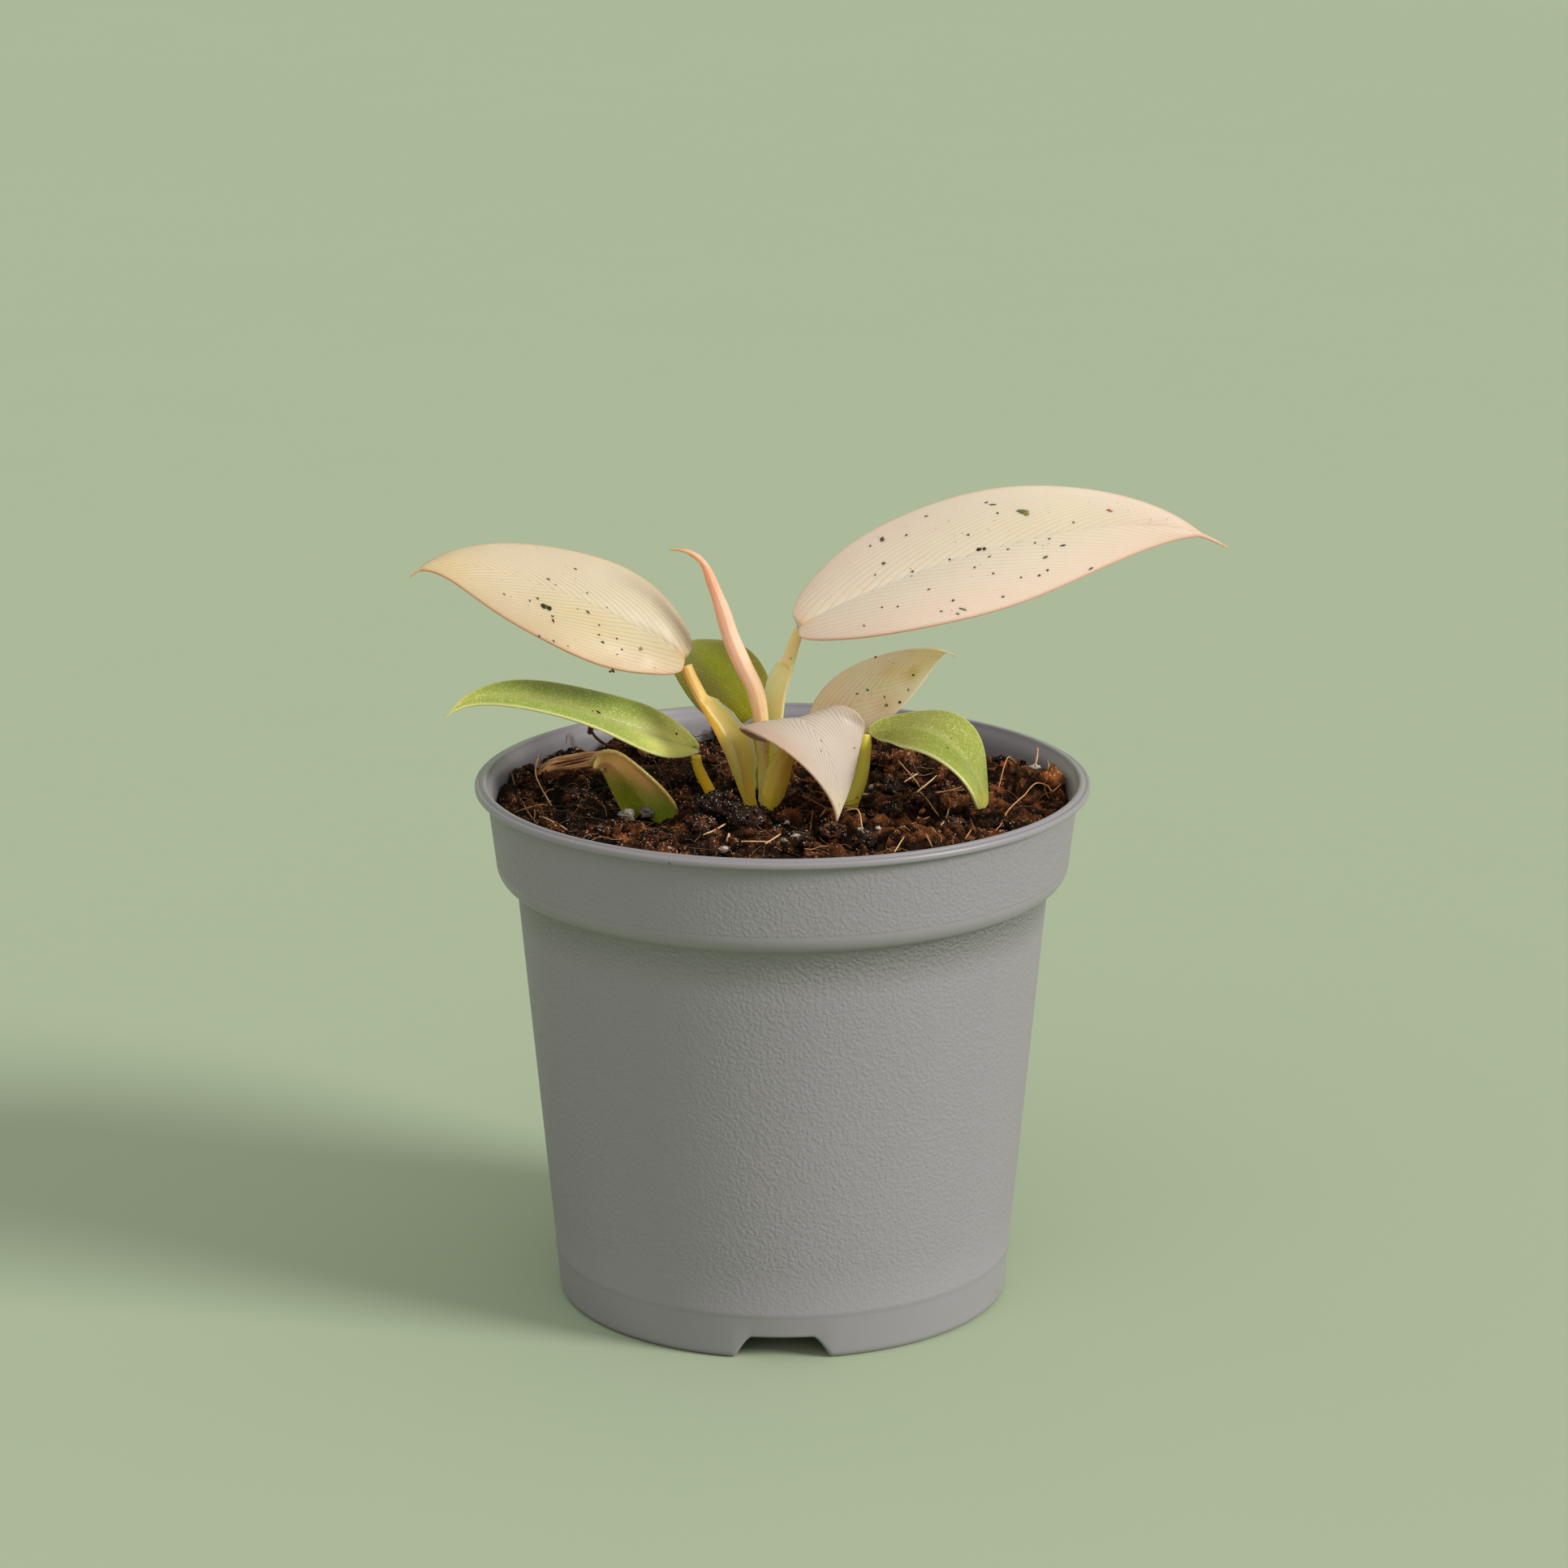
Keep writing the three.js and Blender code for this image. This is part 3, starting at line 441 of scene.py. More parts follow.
def speck_group() -> Tree:
    """Small round specks: the share of cells that is kept, each with its own size, in a soft disc."""
    graph, given = new_group("fine specks", ("Scale", "Share", "Size"), ("Mask",))
    cells = graph.add("ShaderNodeTexVoronoi", {"Vector": graph.place(), "Scale": given["Scale"]})
    draw = graph.add("ShaderNodeSeparateColor", {0: cells.outputs["Color"]})
    kept = graph.maths("LESS_THAN", draw.outputs[0], given["Share"])
    size = graph.times(given["Size"], graph.plus(0.5, draw.outputs[1]))
    inside = graph.maths("SUBTRACT", 1, graph.maths("DIVIDE", cells.outputs["Distance"], size))
    soft = graph.span(inside, low=0.0, high=0.5)
    graph.add("NodeGroupOutput", {"Mask": graph.times(soft, kept)})
    return graph.tree


def mottle_group() -> Tree:
    """Cloudy change of a colour: two noises of different scale push it darker and lighter."""
    graph, given = new_group("cloudy mottle", ("Colour", "Scale", "Strength"), ("Colour", "Cloud"))
    place = graph.place()
    cloud = graph.noise(place, given["Scale"], detail=4, rough=0.6)
    fine = graph.noise(place, graph.times(given["Scale"], 9), detail=2, rough=0.5)
    both = graph.plus(graph.times(cloud, 0.7), graph.times(fine, 0.3))
    push = graph.times(graph.maths("SUBTRACT", both, 0.5), given["Strength"])
    factor = graph.plus(1, graph.times(push, 2))
    grey = graph.add("ShaderNodeCombineColor", dict.fromkeys(range(3), factor)).outputs[0]
    colour = graph.mixed(1.0, given["Colour"], grey, way="MULTIPLY")
    graph.add("NodeGroupOutput", {"Colour": colour, "Cloud": cloud})
    return graph.tree


def grain_group() -> Tree:
    """Moulded leather grain: rounded cells, bent by noise, over a slow swell."""
    graph, given = new_group("moulded grain", ("Scale",), ("Height",))
    place = graph.place()
    bend = graph.add("ShaderNodeTexNoise", {"Vector": place, "Scale": 700.0, "Detail": 2.0}).outputs["Color"]
    sway = graph.vector("SUBTRACT", bend, (0.5, 0.5, 0.5))
    shift = graph.vector("MULTIPLY", sway, (1.2 * MM, 1.2 * MM, 1.2 * MM))
    inputs = {"Vector": graph.vector("ADD", place, shift), "Scale": given["Scale"], "Smoothness": 0.6}
    cells = graph.add("ShaderNodeTexVoronoi", inputs, feature="SMOOTH_F1")
    domes = graph.span(cells.outputs["Distance"], low=0.1, high=0.75, to_low=1, to_high=0)
    swell = graph.noise(place, scale=260)
    graph.add("NodeGroupOutput", {"Height": graph.plus(graph.times(domes, 0.75), graph.times(swell, 0.5))})
    return graph.tree


def streak_group() -> Tree:
    """Fine lengthwise streaks: noise drawn out along a stalk's own length coordinate."""
    graph, given = new_group("lengthwise streaks", ("Along", "Round"), ("Streak",))
    own = graph.add("ShaderNodeUVMap", uv_map=Layer.BLADE_UV.value).outputs[0]
    length, turn = graph.add("ShaderNodeSeparateXYZ", {0: own}).outputs[:2]
    inputs = {0: graph.times(length, given["Along"]), 1: graph.times(turn, given["Round"])}
    drawn = graph.add("ShaderNodeCombineXYZ", inputs).outputs[0]
    graph.add("NodeGroupOutput", {"Streak": graph.noise(drawn, scale=1.0, rough=0.6)})
    return graph.tree


class Effects:
    """The shared effects, each one a node group that is built once."""

    def __init__(self) -> None:
        """Build every group."""
        self.veins = vein_group()
        self.specks = speck_group()
        self.mottle = mottle_group()
        self.grain = grain_group()
        self.streaks = streak_group()

    def clouded(self, graph: Graph, colour: object, scale: float, strength: float) -> Node:
        """Cloud a colour; the node gives the new colour and the cloud's own value."""
        return graph.use(self.mottle, Colour=colour, Scale=scale, Strength=strength)

    def mask(self, graph: Graph, scale: float, share: float, size: float) -> Socket:
        """Scatter specks by cells a metre, the share of them that is kept, and the size against a cell."""
        return graph.use(self.specks, Scale=scale, Share=share, Size=size).outputs["Mask"]


def opaque(colour: Colour) -> tuple[float, float, float, float]:
    """Add full alpha to a colour."""
    return (*colour, 1.0)


@dataclass(frozen=True)
class Specks:
    """One scatter of small specks: its colour, cells a metre, share kept, size against a cell, and cover."""

    colour: Colour
    scale: float
    share: float
    size: float
    cover: object = 0.7

    def over(self, graph: Graph, effects: Effects, under: Socket) -> Socket:
        """Lay the specks over a colour."""
        mask = effects.mask(graph, self.scale, self.share, self.size)
        return graph.mixed(graph.times(mask, self.cover), under, opaque(self.colour))


def new_material(name: str) -> tuple[Material, Graph, Node]:
    """Start a material with a Principled shader.

    Args:
        name: plain name of the finish.

    Returns:
        The material, its graph and the shader node.
    """
    material = bpy.data.materials.new(name)
    material.use_nodes = True
    material.node_tree.nodes.clear()
    graph = Graph(material.node_tree)
    shader = graph.add("ShaderNodeBsdfPrincipled")
    graph.add("ShaderNodeOutputMaterial", {"Surface": shader.outputs[0]})
    return material, graph, shader


# Finishes

@dataclass(frozen=True)
class LeafFinish:
    """Skin of a blade: its painted colour with veins, cloudy mottle, freckles and a fine sparkle of pale
    dots painted as highlights.
    """

    name: str
    vein: Colour
    vein_share: float
    mottle: float
    vein_step: float = 3.0
    vein_waver: float = 0.5
    vein_bump: float = 0.008
    mottle_scale: float = 70.0
    freckle: Colour = (0.2, 0.12, 0.04)
    freckle_share: float = 0.0
    painted_sparkle: Colour = (0.8, 0.8, 0.6)
    painted_sparkle_share: float = 0.0
    cell_scale: float = 2600.0
    cell_height: float = 0.35
    roughness: float = 0.42
    glow: float = 0.85
    reach: float = 1.5

    def build(self, effects: Effects) -> Material:
        """Make the material: mottled paint, veins, freckles and painted sparkle highlights, with a bump of
        cells and veins.
        """
        material, graph, shader = new_material(self.name)
        place, paint = graph.place(), graph.layer(Layer.PAINT, "Color")
        clouded = effects.clouded(graph, paint, self.mottle_scale, self.mottle).outputs["Colour"]
        veins = graph.use(effects.veins, Step=self.vein_step, Waver=self.vein_waver).outputs
        colour = graph.mixed(graph.times(veins["Line"], self.vein_share), clouded, opaque(self.vein))
        if self.freckle_share:
            freckles = Specks(self.freckle, scale=330.0, share=self.freckle_share, size=0.1)
            colour = freckles.over(graph, effects, colour)
        # Painted highlight: pale dots mixed into the colour stand in for glints off the leaf's cells.
        if self.painted_sparkle_share:
            painted_sparkle = Specks(self.painted_sparkle, scale=4200.0, share=self.painted_sparkle_share, size=0.5)
            colour = painted_sparkle.over(graph, effects, colour)
        cells = graph.times(graph.noise(place, self.cell_scale, detail=2), self.cell_height)
        uneven = graph.noise(place, scale=240)
        graph.fill(shader, {
            "Base Color": colour,
            "Roughness": graph.span(uneven, 0.3, 0.7, self.roughness - 0.06, self.roughness + 0.08),
            "Normal": graph.bump(graph.plus(cells, veins["Height"]), strength=0.5, reach=self.vein_bump),
            "Specular IOR Level": 0.35,
            "Subsurface Weight": self.glow,
            "Subsurface Scale": self.reach * MM,
            "Subsurface Radius": (1.0, 0.75, 0.5),
        })
        return material


@dataclass(frozen=True)
class StalkFinish:
    """Skin of a stalk or the rolled leaf: painted colour with lengthwise streaks and small brown spots."""

    name: str
    streak: Colour
    streak_share: float = 0.35
    spot: Colour = (0.25, 0.12, 0.04)
    spot_share: float = 0.12
    roughness: float = 0.44
    glow: float = 0.95
    reach: float = 2.6

    def build(self, effects: Effects) -> Material:
        """Make the material: paint, streaks drawn along the stalk, spots, and a bump of the streaks."""
        material, graph, shader = new_material(self.name)
        paint = graph.layer(Layer.PAINT, "Color")
        clouded = effects.clouded(graph, paint, scale=120.0, strength=0.16).outputs["Colour"]
        streaks = graph.use(effects.streaks, Along=9.0, Round=46.0).outputs["Streak"]
        share = graph.span(streaks, 0.45, 0.75, to_high=self.streak_share)
        spots = Specks(self.spot, scale=620.0, share=self.spot_share, size=0.2, cover=0.55)
        graph.fill(shader, {
            "Base Color": spots.over(graph, effects, graph.mixed(share, clouded, opaque(self.streak))),
            "Roughness": graph.span(streaks, 0.3, 0.7, self.roughness - 0.05, self.roughness + 0.1),
            "Normal": graph.bump(streaks, strength=0.6, reach=0.08),
            "Specular IOR Level": 0.4,
            "Subsurface Weight": self.glow,
            "Subsurface Scale": self.reach * MM,
            "Subsurface Radius": (1.0, 0.6, 0.25),
        })
        return material


@dataclass(frozen=True)
class FleckFinish:
    """Dry brown flecks on a blade, each with the colour that its mesh carries."""

    name: str = "leaf_fleck"

    def build(self, effects: Effects) -> Material:
        """Make the material: the mesh's colour with a cloudy change."""
        material, graph, shader = new_material(self.name)
        paint = graph.layer(Layer.PAINT, "Color")
        clouded = effects.clouded(graph, paint, scale=900.0, strength=0.5).outputs
        graph.fill(shader, {
            "Base Color": clouded["Colour"],
            "Roughness": 0.8,
            "Normal": graph.bump(clouded["Cloud"], strength=0.5, reach=0.05),
            "Specular IOR Level": 0.08,
        })
        return material


@dataclass(frozen=True)
class PlasticFinish:
    """Grey moulded plastic: leather grain where the mesh says so, satin bands, and specks of dust."""

    name: str = "pot_plastic"
    colour: Colour = tone(143, 139, 142)
    dust: Colour = tone(205, 203, 196)
    dirt: Colour = tone(70, 62, 54)
    grain_scale: float = 1350.0
    grain_reach: float = 0.15

    def build(self, effects: Effects) -> Material:
        """Make the material: grey, slightly clouded, with grain height masked by the mesh's grain value."""
        material, graph, shader = new_material(self.name)
        grained = graph.layer(Layer.GRAIN)
        colour = effects.clouded(graph, opaque(self.colour), scale=34.0, strength=0.05).outputs["Colour"]
        dust = Specks(self.dust, scale=120.0, share=0.09, size=0.03, cover=0.5)
        dirt = Specks(self.dirt, scale=95.0, share=0.08, size=0.035, cover=0.75)
        colour = dirt.over(graph, effects, dust.over(graph, effects, colour))
        grain = graph.use(effects.grain, Scale=self.grain_scale).outputs["Height"]
        fine = graph.times(graph.noise(graph.place(), scale=3500, detail=2), 0.12)
        height = graph.plus(graph.times(grain, grained), fine)
        graph.fill(shader, {
            "Base Color": colour,
            "Roughness": graph.span(grained, 0.0, 1.0, to_low=0.36, to_high=0.5),
            "Normal": graph.bump(height, strength=0.7, reach=self.grain_reach),
            "Specular IOR Level": 0.5,
        })
        return material


@dataclass(frozen=True)
class SoilFinish:
    """Moist coir and bark: the mesh's own colour, painted shade going black in the hollows, tan grains, and
    wet glints painted as highlights.
    """

    name: str
    # hollow is the colour of painted shade, mixed in where the mesh's shade value marks hollows and
    # undersides.
    hollow: Colour = tone(13, 6, 1)
    grain: Colour = tone(222, 156, 108)
    grain_share: float = 0.16
    painted_glint: Colour = tone(208, 194, 176)
    painted_glint_share: float = 0.05
    bump: float = 0.35
    roughness: float = 0.86

    def build(self, effects: Effects) -> Material:
        """Make the material: clouded paint, patches of tan grains, painted shade blackening the hollows, and
        painted glint highlights on top.
        """
        material, graph, shader = new_material(self.name)
        place, depth = graph.place(), graph.layer(Layer.PAINTED_SHADE)
        paint = graph.layer(Layer.PAINT, "Color")
        colour = effects.clouded(graph, paint, scale=520.0, strength=0.95).outputs["Colour"]
        patch = graph.span(graph.noise(place, scale=150), 0.4, 0.6, to_low=0.15)
        grains = Specks(self.grain, scale=2700.0, share=self.grain_share, size=0.5, cover=patch)
        # Painted shade: the mesh's shade value blackens the hollows and undersides.
        colour = graph.mixed(depth, grains.over(graph, effects, colour), opaque(self.hollow))
        # Painted highlight: pale glint dots on the shiny spots, kept off the shaded hollows; the same spots
        # are also really glossier.
        wet = effects.mask(graph, scale=3300.0, share=self.painted_glint_share, size=0.5)
        painted_glint_mask = graph.times(wet, graph.span(depth, 0.1, 0.7, to_low=0.8, to_high=0.0))
        torn = graph.times(graph.noise(place, scale=1500, detail=5, rough=0.7), 0.7)
        height = graph.plus(torn, graph.noise(place, scale=420, detail=4, rough=0.6))
        graph.fill(shader, {
            "Base Color": graph.mixed(painted_glint_mask, colour, opaque(self.painted_glint)),
            "Roughness": graph.span(wet, 0.0, 1.0, to_low=self.roughness, to_high=0.2),
            "Normal": graph.bump(height, strength=1.0, reach=self.bump),
            "Specular IOR Level": 0.12,
        })
        return material


@dataclass(frozen=True)
class RootFinish:
    """Fleshy buried stem and roots, pale tan with darker rings."""

    name: str = "fleshy_root"
    colour: Colour = tone(206, 184, 138)
    ring: Colour = tone(140, 104, 66)
    rings_a_metre: float = 420.0

    def build(self, effects: Effects) -> Material:
        """Make the material: clouded tan, brown rings by height, and a fine bump."""
        material, graph, shader = new_material(self.name)
        place = graph.place()
        clouded = effects.clouded(graph, opaque(self.colour), scale=240.0, strength=0.3).outputs["Colour"]
        height = graph.add("ShaderNodeSeparateXYZ", {0: place}).outputs[2]
        height = graph.plus(graph.times(height, self.rings_a_metre), graph.noise(place, scale=300, detail=2))
        share = graph.span(graph.maths("PINGPONG", height, 0.5), 0.0, 0.22, to_low=0.6, to_high=0.0)
        graph.fill(shader, {
            "Base Color": graph.mixed(share, clouded, opaque(self.ring)),
            "Roughness": 0.55,
            "Normal": graph.bump(graph.noise(place, scale=900, detail=4), strength=0.6, reach=0.15),
            "Subsurface Weight": 0.15,
            "Subsurface Scale": 1.0 * MM,
        })
        return material


@dataclass(frozen=True)
class StageFinish:
    """Pale even paper of the floor and backdrop."""

    name: str = "pale_floor"
    colour: Colour = tone(173, 186, 156)

    def build(self, effects: Effects) -> Material:
        """Make the material: one pale colour with the faintest cloud."""
        material, graph, shader = new_material(self.name)
        colour = effects.clouded(graph, opaque(self.colour), scale=2.0, strength=0.02).outputs["Colour"]
        graph.fill(shader, {"Base Color": colour, "Roughness": 0.9, "Specular IOR Level": 0.2})
        return material


# Curves

def by_length(points: np.ndarray, shares: np.ndarray) -> tuple[np.ndarray, np.ndarray, float]:
    """Read a dense line of points at equal shares of its length.

    Args:
        points: the line.
        shares: shares of its length, from 0 to 1.

    Returns:
        The places, the unit tangents and the length.
    """
    run = np.concatenate([[0], np.cumsum(np.linalg.norm(np.diff(points, axis=0), axis=1))])
    tangents = unit(np.gradient(points, run, axis=0))
    at = np.clip(shares, 0, 1) * run[-1]
    places = np.stack([np.interp(at, run, points[:, k]) for k in range(3)], -1)
    along = unit(np.stack([np.interp(at, run, tangents[:, k]) for k in range(3)], -1))
    return places, along, float(run[-1])


def bezier_line(control: tuple[Point, ...], count: int = 801) -> np.ndarray:
    """Points of a Bezier curve: each control point weighted by its Bernstein polynomial."""
    t = np.linspace(0, 1, count)[:, None]
    last = len(control) - 1
    weights = [math.comb(last, k) * t**k * (1 - t) ** (last - k) for k in range(last + 1)]
    return sum(w * np.array(p, float) for w, p in zip(weights, control))


def spline_line(path: tuple[Point, ...] | np.ndarray, steps: int = 60) -> np.ndarray:
    """Points of a Catmull-Rom curve through a path, as Hermite pieces with root-of-distance knots."""
    p = np.array(path, float)
    p = np.concatenate([[2 * p[0] - p[1]], p, [2 * p[-1] - p[-2]]])
    gap = np.sqrt(np.linalg.norm(np.diff(p, axis=0), axis=1))[:, None]
    p0, p1, p2, p3 = p[:-3], p[1:-2], p[2:-1], p[3:]
    g0, g1, g2 = gap[:-2], gap[1:-1], gap[2:]
    start = ((p1 - p0) / g0 - (p2 - p0) / (g0 + g1) + (p2 - p1) / g1) * g1
    end = ((p2 - p1) / g1 - (p3 - p1) / (g1 + g2) + (p3 - p2) / g2) * g1
    t = np.linspace(0, 1, steps, endpoint=False)[None, :, None]
    line = (
        (2 * t**3 - 3 * t**2 + 1) * p1[:, None] + (t**3 - 2 * t**2 + t) * start[:, None]
        + (-2 * t**3 + 3 * t**2) * p2[:, None] + (t**3 - t**2) * end[:, None]
    )
    return np.concatenate([line.reshape(-1, 3), p[-2:-1]])


@dataclass(frozen=True)
class Wash:
    """A soft patch of colour, in screen values, round a place in a blade's or stalk's own coordinates."""

    colour: Colour
    along: float
    across: float
    reach_along: float
    reach_across: float
    strength: float

    def over(self, paint: np.ndarray, s: np.ndarray, u: np.ndarray) -> np.ndarray:
        """Lay the patch over a painted surface, fading as exp of minus the squared distance in reaches."""
        far = ((s - self.along) / self.reach_along) ** 2 + ((u - self.across) / self.reach_across) ** 2
        share = (self.strength * np.exp(-far))[..., None]
        return blend(paint, np.array(tone(*self.colour)), share)


# Blades

DARK = tone(74, 46, 16)
BROWN = tone(122, 78, 34)
TAN = tone(158, 116, 62)
STRAY = tone(150, 112, 60)
OLIVE = tone(112, 112, 48)


@dataclass(frozen=True)
class Fleck:
    """A dry fleck on a blade: its place in the blade's coordinates, and its size in millimetres."""

    along: float
    across: float
    length: float = 0.5
    width: float = 0.4
    turn: float = 0
    colour: Colour = BROWN


@dataclass
class Blade:
    """A leaf blade: half outlines folded, curled and hung on a rib, with a groove, thin margins and flecks.

    The outline, fold and curl are those of the solid that it stands for.
    """

    name: str
    slot: str
    rib: tuple[Point, ...]
    side0: Point
    side1: Point
    half: float
    a: float
    b: float
    fold0: float
    fold1: float
    curl: float
    lobe: float
    tau: float
    tail: float
    wave: float
    waves: float
    finish: LeafFinish
    paint: Colour
    margin: Colour
    margin_share: float
    washes: tuple[Wash, ...]
    seed: int
    flecks: tuple[Fleck, ...] = ()
    stray_flecks: int = 0
    fleck_size: float = 0.58
    fleck_sides: int = 12
    fleck_uneven: float = 0.28
    fleck_sunk: float = 0.06
    stray_spans: tuple[tuple[float, float], ...] = ((0.08, 0.92), (-0.92, 0.92), (0.1, 0.22), (0, 180))
    vein_reach: float = 0.9
    wave_lag: float = 1.6
    groove: float = 0.16
    groove_reach: float = 0.55
    lobe_reach: float = 0.035
    margin_reach: float = 0.45
    vein_lean: float = 0.6
    bunching: float = 0.75
    end_rows: float = 40
    thickness: float = 0.6
    first: float = 0.012
    last: float = 0.985
    rows: int = 150
    columns: int = 55

    def half_width(self, s: np.ndarray) -> np.ndarray:
        """Half width at share s: an outline t^a (1 - t)^b scaled to its peak, joined to a drip tip."""
        top = self.a / (self.a + self.b)
        t = np.clip(s / (1 - self.tau), 1e-6, 1 - 1e-6)
        body = self.half * (t / top) ** self.a * ((1 - t) / (1 - top)) ** self.b
        tip = self.tail * np.maximum(1 - s, 0) ** 0.7 * s
        return np.cbrt(body**3 + tip**3)

    def middle(self, s: np.ndarray, u: np.ndarray) -> np.ndarray:
        """Places of the middle surface.

        The rib's point, plus the half width across turned up by the fold, less curl times the square of u,
        and set back at the base lobes. A groove runs over the rib, and the margins ripple.

        Args:
            s: shares along the rib.
            u: shares across, from -1 to 1, of the same shape.

        Returns:
            Places, three numbers in the last axis.
        """
        places, along, _ = by_length(bezier_line(self.rib), s.ravel())
        places, along = places.reshape(*s.shape, 3), along.reshape(*s.shape, 3)
        side = blend(unit(self.side0), unit(self.side1), s[..., None])
        side = unit(side - (side * along).sum(-1, keepdims=True) * along)
        normal = np.cross(side, along)
        half = self.half_width(s)
        fold = np.radians(blend(self.fold0, self.fold1, s))
        back = self.lobe * (s / self.lobe_reach) * np.exp(1 - s / self.lobe_reach) * np.abs(u)
        rise = half * np.sin(fold) * np.abs(u) - self.curl * half * u * u
        across = u * half
        dip = self.groove * np.exp(-((across / self.groove_reach) ** 2)) * eased(s * 12) * (1 - s) ** 0.4
        turn = 2 * math.pi * self.waves * s + self.seed + self.wave_lag * np.sign(u)
        ripple = self.wave * u * u * np.sin(turn) * eased(s * 6) * eased((1 - s) * 6)
        out, lift = across * np.cos(fold), rise - dip + ripple
        return places + out[..., None] * side + lift[..., None] * normal - back[..., None] * along

    def frame_at(self, s: np.ndarray, u: np.ndarray, step: float = 0.004) -> tuple[np.ndarray, ...]:
        """Places, unit normals, and unit directions along and across, from small steps to both sides."""
        across = self.middle(s, u + step) - self.middle(s, u - step)
        along = self.middle(s + step, u) - self.middle(s - step, u)
        return self.middle(s, u), unit(np.cross(across, along)), unit(along), unit(across)

    def colour_at(self, s: np.ndarray, u: np.ndarray) -> np.ndarray:
        """Painted colour: the base, the washes one after another, then the margin's tint."""
        paint = np.broadcast_to(np.array(self.paint), (*s.shape, 3)).copy()
        for wash in self.washes:
            paint = wash.over(paint, s, u)
        edge = self.half_width(s) * (1 - np.abs(u))
        share = self.margin_share * np.exp(-((edge / self.margin_reach) ** 2))
        return blend(paint, np.array(self.margin), share[..., None])

    def sheet(self) -> Surface:
        """Carry a closed cross-section along the rib: over the upper face, round the margin, back below."""
        v = np.sin(0.5 * math.pi * np.linspace(-1, 1, self.columns))
        u_row = np.concatenate([v, v[-2:0:-1]])
        upper = np.concatenate([np.ones(self.columns), -np.ones(self.columns - 2)])
        t = np.linspace(0, 1, self.rows)
        bunched = t - self.bunching * np.sin(2 * math.pi * t) / (2 * math.pi)
        s_row = self.first + (self.last - self.first) * bunched
        s, u = np.meshgrid(s_row, u_row, indexing="ij")
        places, normal, _, _ = self.frame_at(s, u)
        half = self.half_width(s)
        ends = np.clip(np.minimum(t, 1 - t) * self.end_rows, 0.02, 1)
        thin = 0.5 * self.thickness * np.sqrt(ends)[:, None]
        edge = np.clip(half * (1 - np.abs(u)) / thin, 0, 1)
        away = thin * np.sqrt(1 - (1 - edge) ** 2) * upper[None, :]
        rings = places + away[..., None] * normal
        length = by_length(bezier_line(self.rib), np.array([0.0]))[2]
        sweep = self.vein_reach * (0.55 + 0.9 * s) * half / self.half
        vein = length * (s + sweep * np.log(1 - self.vein_lean * np.abs(u)))
        points, faces = lofted(rings)
        return Surface(
            points, faces, uv=with_ends(np.stack([s, u], -1)),
            values={Layer.PAINT: with_ends(self.colour_at(s, u)), Layer.VEIN: with_ends(vein)[:, 0]},
        ).facing_out()

    def fleck_discs(self) -> Surface:
        """Low uneven domes on the upper face: three rings round each fleck's place, closed below."""
        draw = np.random.default_rng(self.seed)
        drawn = zip(*(draw.uniform(low, high, self.stray_flecks) for low, high in self.stray_spans))
        strays = [Fleck(s, u, size, size * 0.8, turn, STRAY) for s, u, size, turn in drawn]
        flecks = [*self.flecks, *strays]
        s, u = np.array([f.along for f in flecks]), np.array([f.across for f in flecks])
        place, normal, along, across = self.frame_at(s, u)
        size = self.fleck_size * np.array([[f.length, f.width] for f in flecks])
        turn = np.radians([f.turn for f in flecks])[:, None, None]
        sides, sunk = self.fleck_sides, self.fleck_sunk
        rings, heights = np.array([1.0, 0.72, 0.38]), np.array([-sunk, 0.025, 0.05])
        angle = circle(sides)[None, None, :]
        uneven = 1 + self.fleck_uneven * draw.uniform(-1, 1, (len(flecks), 1, sides))
        x = size[:, 0, None, None] * np.cos(angle) * uneven * rings[None, :, None]
        y = size[:, 1, None, None] * np.sin(angle) * uneven * rings[None, :, None]
        first = x * np.cos(turn) - y * np.sin(turn)
        second = x * np.sin(turn) + y * np.cos(turn)
        skin = 0.5 * self.thickness
        flat = first[..., None] * along[:, None, None] + second[..., None] * across[:, None, None]
        lift = (skin + heights)[None, :, None, None] * normal[:, None, None]
        points = place[:, None, None] + flat + lift
        hubs = place[:, None] + (skin + np.array([-sunk, sunk]))[None, :, None] * normal[:, None]
        domes = np.concatenate([points.reshape(len(flecks), -1, 3), hubs], axis=1)
        count = domes.shape[1]
        faces = repeated(ring_faces(len(rings), sides), count, len(flecks))
        colours = np.repeat(np.array([f.colour for f in flecks]), count, axis=0)
        return Surface(
            points=domes.reshape(-1, 3),
            faces=faces,
            uv=np.repeat(np.stack([s, u], 1), count, axis=0),
            values={Layer.PAINT: colours, Layer.VEIN: np.zeros(len(colours))},
            material=np.ones(len(faces), int),
        ).facing_out()

    def build(self, effects: Effects, fleck_skin: Material) -> Piece:
        """Build the blade with its flecks and dress it."""
        parts = [self.sheet()]
        if self.flecks or self.stray_flecks:
            parts.append(self.fleck_discs())
        node = self.name if self.name == "young_leaf" else f"{self.name}_blade"
        skins = [self.finish.build(effects), fleck_skin]
        return make_piece(f"{node}_skin", joined(parts), skins, (node,))


# Stalks

